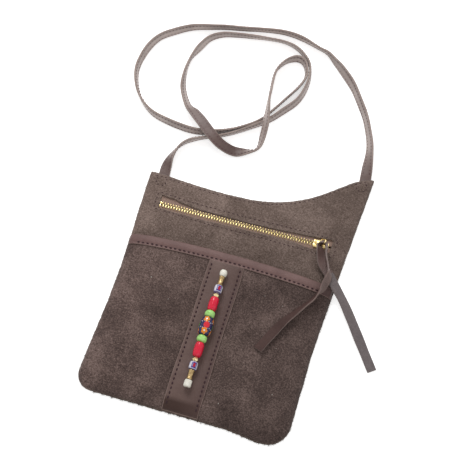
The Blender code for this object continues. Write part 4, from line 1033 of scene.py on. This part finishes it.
def ring(looks):
    """Wire bent to a triangle with rounded corners."""
    base, high, corner, wire = 0.0053, 0.0118, 0.0018, 0.00065
    corners = [Vector((-base, 0)), Vector((base, 0)), Vector((0, high))]
    outline = []
    for i, here in enumerate(corners):
        back_way = (corners[i - 1] - here).normalized()
        onward = (corners[(i + 1) % 3] - here).normalized()
        reach = corner / math.tan(back_way.angle(onward) / 2)
        start, end = here + back_way * reach, here + onward * reach
        for t in (j / 8 for j in range(9)):
            outline.append(start.lerp(here, t).lerp(here.lerp(end, t), t))
    lean = RING_LEAN
    corners = np.array([(math.sin(lean) * p.y, p.x, math.cos(lean) * p.y) for p in outline])
    corners += np.array([SLIDER_X + RING_SHIFT, 0, RING_Z - TAPE_Z])
    centre = []
    for a, b in zip(corners, np.roll(corners, -1, axis=0)):
        steps = max(1, int(np.linalg.norm(b - a) / 0.0008))
        centre += [a + (b - a) * k / steps for k in range(steps)]
    centre = np.array(centre)
    plane = np.array([math.cos(lean), 0, -math.sin(lean)])
    out = np.cross(unit(np.roll(centre, -1, axis=0) - np.roll(centre, 1, axis=0)), plane)
    turns = circle(14)[None, :, None]
    rings = centre[:, None] + wire * (np.cos(turns) * out[:, None] + np.sin(turns) * plane)
    index = np.arange(rings.shape[0] * rings.shape[1]).reshape(rings.shape[:2])
    after = np.roll(index, -1, axis=1)
    faces = np.stack([index, after, np.roll(after, -1, axis=0), np.roll(index, -1, axis=0)], -1)
    made = finish_mesh("zip_ring", to_row(rings.reshape(-1, 3)), faces.reshape(-1, 4).tolist(),
                       looks["brass"], 60)
    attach(made, "pull")
    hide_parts("pull_ring")


def thong(looks):
    """The lace in a loop through the ring and two tails, which meet it at its crossing."""
    points, leans, walked = smooth_route(THONG_ROUTE_MM, 260)
    across, face = ribbon_frames(points, leans)
    # It is gathered to a narrow, cupped strip where it passes through the ring
    eye = np.array([SLIDER_X + RING_SHIFT + THONG_RISE * math.tan(RING_LEAN),
                    ZIP_Y + SLIDER_X * math.tan(ZIP_SLOPE), RING_Z + THONG_RISE])
    away = np.linalg.norm(points - eye, axis=1)
    beyond = np.arange(len(points)) > int(np.argmin(away))
    gather = hump(away, np.where(beyond, 0.0062, THONG_GATHER_REACH))
    section = rounded_strip(1.0, THONG_THICKNESS / THONG_WIDTH, 0.07, 2, 7)
    width = THONG_WIDTH * (1 + 0.03 * np.sin(walked * 90) + 0.02 * np.sin(walked * 241 + 2))
    width = lerp(width, THONG_GATHERED, gather)
    scale = THONG_WIDTH * (1 + 0.05 * np.sin(walked * 130 + 1))
    cup = 0.0005 * np.sin(walked * 55 + 0.8) + 0.0011 * gather
    u = section[None, :, 0]
    depth = section[None, :, 1] * scale[:, None] + cup[:, None] * (4 * u * u - 0.5)
    rings = (points[:, None] + across[:, None] * (u * width[:, None])[..., None]
             + face[:, None] * depth[..., None])
    middle, spot = ((section[:, k] + np.roll(section[:, k], -1)) / 2 for k in (1, 0))
    marks = np.where(middle > 0, 0, 1)
    marks[np.abs(spot) > 0.47] = 2
    knot_left, knot_right = (int(np.argmin(np.linalg.norm(points - np.array(knot), axis=1)))
                             for knot in ((0.0904, 0.0508, 0.0173), (0.0902, 0.0514, 0.0113)))
    palette = [looks["lace"], looks["lace_flesh"], looks["lace_edge"]]
    loop = sweep("lace_loop", rings[knot_left:knot_right + 1], palette, indices=marks)
    # The left tail takes a darker copy of the lace leather: painted shade
    dark = [looks["lace_painted_shade"], looks["lace_flesh"], looks["lace_flesh"]]
    left_tail = sweep("lace_left_tail", rings[:knot_left + 1], dark, indices=marks)
    # The right tail's upper face takes a grey copy of the lace: painted sheen from the bright surroundings
    sheen_face_up = [looks["lace_painted_sheen"], looks["lace"], looks["lace_edge"]]
    right_tail = sweep("lace_right_tail", rings[knot_right:], sheen_face_up, indices=marks)
    # The tails ride with the slider, each on its own copy of its mesh
    above = np.array([0.0, 0.0, 0.003])
    for tail, anchor, rise in ((left_tail, points[knot_left], (-0.1444, 0.0393, 1.0)),
                               (right_tail, points[knot_right] + above, (-0.139, 0.166, 1.0))):
        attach(tail, "zip_slider")
        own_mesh(tail)
    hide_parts("pull_thong")
    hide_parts("pull_thong")
    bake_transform(loop)
    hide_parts("pull_thong")


# Beads

def turned_bead(name, profile, segments, looks, cad, body, warp, paint=None, angle=60):
    """A bead turned on the cord's line; profile is (distance along, radius) from end to end."""
    joint = next(j for j in frame["record"]["behaviour"]["joints"] if j["child"] == body)
    axis, centre = np.array(joint["axis"]), np.array(joint["pos_m"])
    side = np.array([1.0, 0.0, 0.0])
    up = np.cross(side, axis)
    turns = circle(segments)
    directions = np.sin(turns)[:, None] * side + np.cos(turns)[:, None] * up
    rings = []
    for along, radius in profile:
        r = radius * (1 + warp * np.sin(3 * turns + along * 900) * 0.5 + warp * np.sin(2 * turns + 1.0))
        rings.append(centre + axis * along + r[:, None] * directions)
    made = sweep(name, np.array(rings)[:, ::-1], looks, closed_ends=False, angle=angle)
    if paint is not None:
        layer = made.data.color_attributes.new("canes", "FLOAT_COLOR", "POINT")
        colors = np.ones((len(profile), segments, 4), np.float32)
        for i, (along, _) in enumerate(profile):
            colors[i, :, :3] = paint(turns[::-1], along)
        layer.data.foreach_set("color", colors.reshape(-1))
    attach(made, body)
    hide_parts(cad)


def with_bore(outer, bore=0.00068):
    """Closes a bead's outline through its bore."""
    inset = 0.0004
    start, end = (outer[0][0] + inset, bore), (outer[-1][0] - inset, bore)
    return [start, *outer, end, start]


def turned_outline(shape_mm):
    return with_bore([(along / 1000, radius / 1000) for along, radius in shape_mm])


def barrel_outline(diameter, length, end_share, power, steps=24, bore=0.00068):
    """A bulging bead; a higher power makes its ends squarer."""
    half, radius, lip = length / 2, diameter / 2, 0.00002
    outer = [(-half + lip, bore + 0.0002)]
    for i in range(steps + 1):
        along = math.sin(math.pi * (i / steps - 0.5))
        bulge = (1 - abs(along) ** power) ** (1 / 2.2)
        outer.append((half * along, radius * lerp(end_share, 1, bulge)))
    outer.append((half - lip, bore + 0.0002))
    return with_bore(outer, bore)


def wrap(angle):
    return (angle + math.pi) % (2 * math.pi) - math.pi


def striped_paint(turns, along):
    """White glass with a red bar framed in blue, repeated round the bead."""
    white, blue, red = srgb(232, 230, 240), srgb(52, 34, 140), srgb(186, 18, 44)
    local = np.abs(wrap(turns * 3 - 0.9) / 3)
    colors = np.full((len(turns), 3), white)
    if abs(along) < 0.0027:
        colors[local < 0.66] = blue
    if abs(along) < 0.0017:
        colors[local < 0.46] = white
        colors[local < 0.38] = blue
        colors[local < 0.24] = red
    if abs(along) > 0.0032:
        colors[:] = srgb(120, 112, 170)
    return colors


def flower_paint(turns, along):
    """Dark ground with rows of orange flowers, red and green ovals and white specks."""
    ground, orange = srgb(38, 36, 84), srgb(240, 142, 26)
    white, red, green = srgb(240, 240, 244), srgb(230, 34, 52), srgb(96, 178, 62)
    reach = 0.0060
    colors = np.full((len(turns), 3), ground)
    for i in range(18):
        spot = wrap(turns - (i * 2 * math.pi / 18)) * reach
        for row in (-0.0030, 0.0030):
            speck = np.hypot(spot, along - row * (1 + 0.12 * math.sin(i * 2.3)))
            colors[speck < 0.00042] = white
    for i in range(4):
        quarter = turns - 0.15 - i * math.pi / 2
        for row, shift in ((0.0056, 0.25), (-0.0056, 0.10)):
            dx, dy = wrap(quarter + shift) * reach, along - row
            distance, heading = np.hypot(dx, dy), np.arctan2(dy, dx)
            petals = 0.0020 + 0.0012 * np.abs(np.cos(2.5 * heading + i)) ** 0.7
            colors[distance < petals] = orange
            colors[distance < 0.0008] = white
        spot = wrap(quarter) * reach
        if i % 2 == 0:
            colors[np.hypot(spot * 0.9, along * 0.85) < 0.0025] = red
        else:
            colors[np.hypot(spot, along * 0.62) < 0.0021] = green
    return colors


def bead_cord(looks):
    """The cord through the bores; it turns down into the band just beyond the end beads."""
    co = np.array([v.co for v in frame["nodes"]["bead_cord"].data.vertices])
    first, last = co[np.argmin(co[:, 1])], co[np.argmax(co[:, 1])]
    place_of = {j["child"]: np.array(j["pos_m"]) for j in frame["record"]["behaviour"]["joints"]
                if j["child"].startswith("bead_white")}
    low, high = place_of["bead_white_lower"], place_of["bead_white_upper"]
    along, down = unit(high - low), np.array([0.0, 0.0, -1.0])
    path = [first, low - along * 0.0031 + down * 0.0016, low - along * 0.0028]
    path += [lerp(low, high, share) for share in (0.0, 0.25, 0.5, 0.75, 1.0)]
    path += [high + along * 0.0028, high + along * 0.0031 + down * 0.0016, last]
    path = np.array(path)
    path[0, :2], path[-1, :2] = path[1, :2], path[-2, :2]
    ahead = unit(np.gradient(path, axis=0))
    side, turns = np.array([1.0, 0.0, 0.0]), circle(10)[:, None]
    thin = [0.0002, 0.00022, 0.00035]
    rings = [point + radius * (np.cos(turns) * side + np.sin(turns) * np.cross(side, way))
             for point, way, radius in zip(path, ahead, thin + [0.00045] * 5 + thin[::-1])]
    made = sweep("bead_string", np.array(rings)[:, ::-1], looks["cord"])
    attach(made, "bag")
    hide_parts("bead_cord")


def beads(looks):
    """Six pairs of beads, the upper ivory one rounder than the lower, and the patterned bead."""
    ivory = {"upper": barrel_outline(0.0068, 0.0064, 0.42, 2.2, bore=0.0005),
             "lower": barrel_outline(0.0068, 0.0064, 0.72, 7.0, bore=0.0005)}
    for kind, look, slot, segments, warp, profile in (
            ("white", "ivory", "ivory_glass", 32, 0.004, None),
            ("tube", "aged", "bead_brass", 28, 0.01, turned_outline(TUBE_BEAD_MM)),
            ("striped", "canes", "striped_glass", 96, 0.01, barrel_outline(0.0074, 0.0070, 0.66, 5.0, 40)),
            ("diamond", "aged_light", "bead_brass", 4, 0.0, turned_outline(DIAMOND_BEAD_MM)),
            ("red", "red", "red_glass", 40, 0.012, barrel_outline(0.0084, 0.0134, 0.55, 3.4)),
            ("green", "green", "green_glass", 36, 0.035, barrel_outline(0.0094, 0.0064, 0.45, 2.3))):
        for label in ("upper", "lower"):
            turned_bead(kind + "_" + label, profile or ivory[label], segments, looks[look],
                        label + "_" + kind + "_bead", "bead_" + kind + "_" + label, warp,
                        striped_paint if kind == "striped" else None, 25 if kind == "diamond" else 60)
    turned_bead("flowered", barrel_outline(0.0120, 0.0170, 0.60, 2.6, 110), 180, looks["canes"],
                "patterned_bead", "bead_patterned", 0.012, flower_paint)


# Loose fibres

def fuzz(looks):
    """Fibres that stand off the cut and turned edges of the suede."""
    vertices, faces = [], []

    def tuft(x, y, z, out, count, reach):
        clump = 0.35 + 0.9 * max(0.0, math.sin(x * 410 + y * 730) * math.sin(x * 1130 - y * 870 + 1.0)) ** 0.5
        for _ in range(count):
            jitter = RNG.normal(0, FIBRE_SCATTER, 3) * np.array([1, 1, 0.8])
            start = np.array([x, y, z]) + jitter - np.array([*out, 0.0]) * 0.0004
            start[2] = max(start[2], 0.00025)
            way = unit(np.array([*out, 0.15]) + RNG.normal(0, FIBRE_SPREAD, 3))
            tip = start + way * (reach * clump * (0.35 + RNG.random() ** 2))
            tip[2] = max(tip[2], 0.0001)
            wide = unit(np.cross(way, [0.3, 0.2, 1.0])) * FIBRE_HALF_WIDTH
            base = len(vertices)
            vertices.extend([start - wide, start + wide, tip])
            faces.append((base, base + 1, base + 2))

    inset = 0.02
    low_left, low_right = left_x(LOWER_Y + inset), right_x(LOWER_Y + inset)
    for edge, count, reach, out, layers in FIBRE_EDGES:
        for i in range(count):
            s = (i + RNG.random()) / count
            if edge == "bottom":
                x = lerp(low_left, low_right, s)
                y = bottom_y(x)
                near = min(x - low_left, low_right - x)
                if near < inset:
                    y = bottom_y(x) + inset - math.sqrt(max(inset ** 2 - (inset - near) ** 2, 0))
            elif edge == "top":
                x = -0.095 + 0.2 * s
                y = top_y(x)
            else:
                y = LOWER_Y + 0.012 + (0.2 if edge == "left" else 0.245) * s
                x = left_x(y) if edge == "left" else right_x(y)
            for z, number in layers:
                # The third layer is the pocket's, which ends at its mouth
                if z < 0.003 or edge == "bottom" or y <= MOUTH_SIDE_Y:
                    tuft(float(x) + out[0] * 0.0004, float(y) + out[1] * 0.0004, z, out, number, reach)
    made = finish_mesh("edge_fibres", vertices, faces, looks["fibre"], 60)
    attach(made, "bag")


def light_specks(looks):
    """A few light specks caught in the nap."""
    specks = []
    for x, y in LINT_SPOTS:
        surface = pocket_show if y < 0.04 else front_show
        z = float(surface(np.array(x), np.array(y))) + SUEDE
        size = 0.0003 + 0.0002 * RNG.random()
        turn = RNG.random() * 3
        cos, sin = math.cos(turn), math.sin(turn)
        points = [(x + size * (a * cos - b * sin), y + size * (a * sin + b * cos), z + 0.0001)
                  for a, b in ((1.6, 0), (0, 0.6), (-1.6, 0), (0, -0.6))]
        points += [(x, y, z + 0.0004), (x, y, z - 0.0002)]
        specks.append((points, [(k, (k + 1) % 4, 4) for k in range(4)]
                       + [((k + 1) % 4, k, 5) for k in range(4)]))
    lint = finish_mesh("lint", *merge(specks), looks["lint"], 60)
    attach(lint, "bag")


# Stage and light

def stage():
    """A pale floor that shows as white, a soft world, a key lamp and a fill lamp."""
    scene = bpy.context.scene
    scene.view_settings.view_transform = "Standard"
    bpy.ops.mesh.primitive_plane_add(size=8, location=(0, 0.07, -0.00005))
    floor = bpy.context.object
    floor.name = "floor"
    made, tree, shader = new_material("floor", Roughness=0.9, Specular_IOR_Level=0.1,
                                      Base_Color=(0.92, 0.92, 0.915, 1))
    path = node(tree, "LightPath").outputs
    seen = math_node(tree, "MAXIMUM", path["Is Camera Ray"], path["Is Glossy Ray"])
    seen = math_node(tree, "MAXIMUM", seen, path["Is Transmission Ray"])
    glow = node(tree, "Emission", {"Color": (1, 1, 1, 1), "Strength": math_node(tree, "MULTIPLY", seen, 0.6)})
    both = node(tree, "AddShader", {0: shader.outputs["BSDF"], 1: glow.outputs[0]})
    tree.links.new(both.outputs[0], tree.nodes["Material Output"].inputs["Surface"])
    floor.data.materials.append(made)
    world = bpy.data.worlds.new("studio")
    scene.world = world
    world.use_nodes = True
    tree = world.node_tree
    tree.nodes.clear()
    path = node(tree, "LightPath").outputs
    shown = math_node(tree, "MAXIMUM", path["Is Camera Ray"], path["Is Glossy Ray"])
    strength = total(tree, 0.55, (shown, 0.45))
    light = node(tree, "Background", {"Color": (1.0, 1.0, 1.0, 1), "Strength": strength})
    node(tree, "OutputWorld", {"Surface": light.outputs[0]})
    for name, stand, energy, size in (("key", (-0.45, 0.95, 1.05), 11.0, 0.6),
                                      ("fill", (0.8, -0.7, 1.2), 3.0, 1.2)):
        lamp = bpy.data.lights.new(name, "AREA")
        lamp.energy, lamp.size = energy, size
        holder = bpy.data.objects.new(name, lamp)
        holder.location = stand
        aim = Vector((0.0, 0.05, 0.0)) - Vector(stand)
        holder.rotation_euler = aim.to_track_quat("-Z", "Y").to_euler()
        scene.collection.objects.link(holder)


def make_looks():
    """Every look by its short name, in display colours."""
    return {
        # Each suede's last number is the share its right side is darkened to, painted shade away from the
        # light
        "suede": suede("suede", (70, 56, 49), (115, 98, 90), (158, 138, 129), 0.8, 0.78),
        "suede_rim": suede("suede_rim", (82, 69, 62), (126, 110, 101), (166, 149, 138), 0.5, 0.78),
        "pocket": suede("pocket_suede", (46, 34, 31), (94, 77, 72), (146, 124, 117), 1.0, 0.60),
        "pocket_rim": suede("pocket_rim", (62, 50, 45), (110, 94, 87), (152, 134, 125), 0.6, 0.60),
        # The trim's darker right side is a painted shadow of the lace; the band's darker lower end, where it
        # curves down over the edge, and its darker right side are painted shade
        "trim": smooth_leather("trim_leather", (98, 74, 71), (120, 94, 90), 0.5, 0.25,
                               side=(0.084, 0.093, (72, 53, 50))),
        "band": smooth_leather("band_leather", (88, 68, 63), (111, 91, 85), 0.48, 0.22,
                               end=(-0.0965, -0.1010, (60, 41, 35)), side=(-0.004, 0.020, (78, 58, 54))),
        # The strap's pale colours are painted sheen, mixed with wear
        "strap": smooth_leather("strap_leather", (82, 64, 60), (102, 82, 77), 0.42,
                                pale=((178, 163, 157), (206, 192, 186))),
        "lace": smooth_leather("lace_leather", (84, 64, 60), (106, 84, 79), 0.5),
        # A darker copy of the lace leather for the left tail: painted shade
        "lace_painted_shade": smooth_leather("lace_painted_shade", (62, 45, 42), (84, 64, 60), 0.6, 0.12),
        "trim_edge": fibrous("trim_edge", (110, 90, 84), (146, 124, 116)),
        "strap_edge": fibrous("strap_edge", (134, 118, 112), (178, 163, 156)),
        "lace_flesh": fibrous("lace_flesh", (92, 76, 72), (138, 118, 112)),
        # A grey copy for the right tail's upper face: painted sheen from the bright surroundings
        "lace_painted_sheen": fibrous("lace_painted_sheen", (90, 82, 82), (126, 117, 117)),
        "lace_edge": fibrous("lace_edge", (104, 90, 86), (142, 128, 124)),
        "fibre": fibrous("loose_fibre", (74, 62, 55), (118, 102, 92)),
        "strap_thread": thread_material("strap_thread", (58, 34, 38), (104, 76, 78)),
        "thread": thread_material("thread", (30, 10, 16), (58, 26, 34)),
        "cord": thread_material("bead_thread", (70, 54, 40), (120, 96, 74)),
        "tape": woven("zip_tape", (112, 90, 80), (180, 152, 138)),
        "brass": metal("zip_brass", (252, 234, 178), (228, 196, 122), 0.22, 0.05, 0.00001, 900.0),
        "teeth": metal("tooth_brass", (214, 200, 150), (168, 142, 86), 0.3, 0.05, 0.00001, 1800.0),
        "aged": metal("aged_brass", (192, 166, 120), (122, 98, 66), 0.4, 0.1, 0.00008),
        "aged_light": metal("diamond_brass", (255, 244, 196), (246, 222, 158), 0.5, 0.08, 0.00002),
        "ivory": glass("ivory_glass", (240, 237, 226), (222, 216, 200), 0.3, 0.00002),
        "red": glass("red_glass", (222, 24, 60), (204, 14, 48), 0.18, 0.000002),
        "green": glass("green_glass", (178, 230, 138), (140, 200, 96), 0.22, 0.00002),
        "canes": painted_glass("cane_glass"),
        "lint": new_material("lint", Base_Color=(*srgb(226, 222, 212), 1), Roughness=0.9)[0],
    }


def dress_cad(looks):
    for name in ("zip_upper_top_stop", "zip_lower_top_stop"):
        for slot in frame["nodes"][name].material_slots:
            slot.material = looks["brass"]


def main():
    camera()
    looks = make_looks()
    strap(looks)
    stage()
    back(looks)
    front(looks)
    pocket(looks)
    binding(looks)
    band(looks)
    tapes(looks)
    bottom_stop(looks)
    slider(looks)
    ring(looks)
    thong(looks)
    bead_cord(looks)
    beads(looks)
    fuzz(looks)
    light_specks(looks)
    dress_cad(looks)


main()
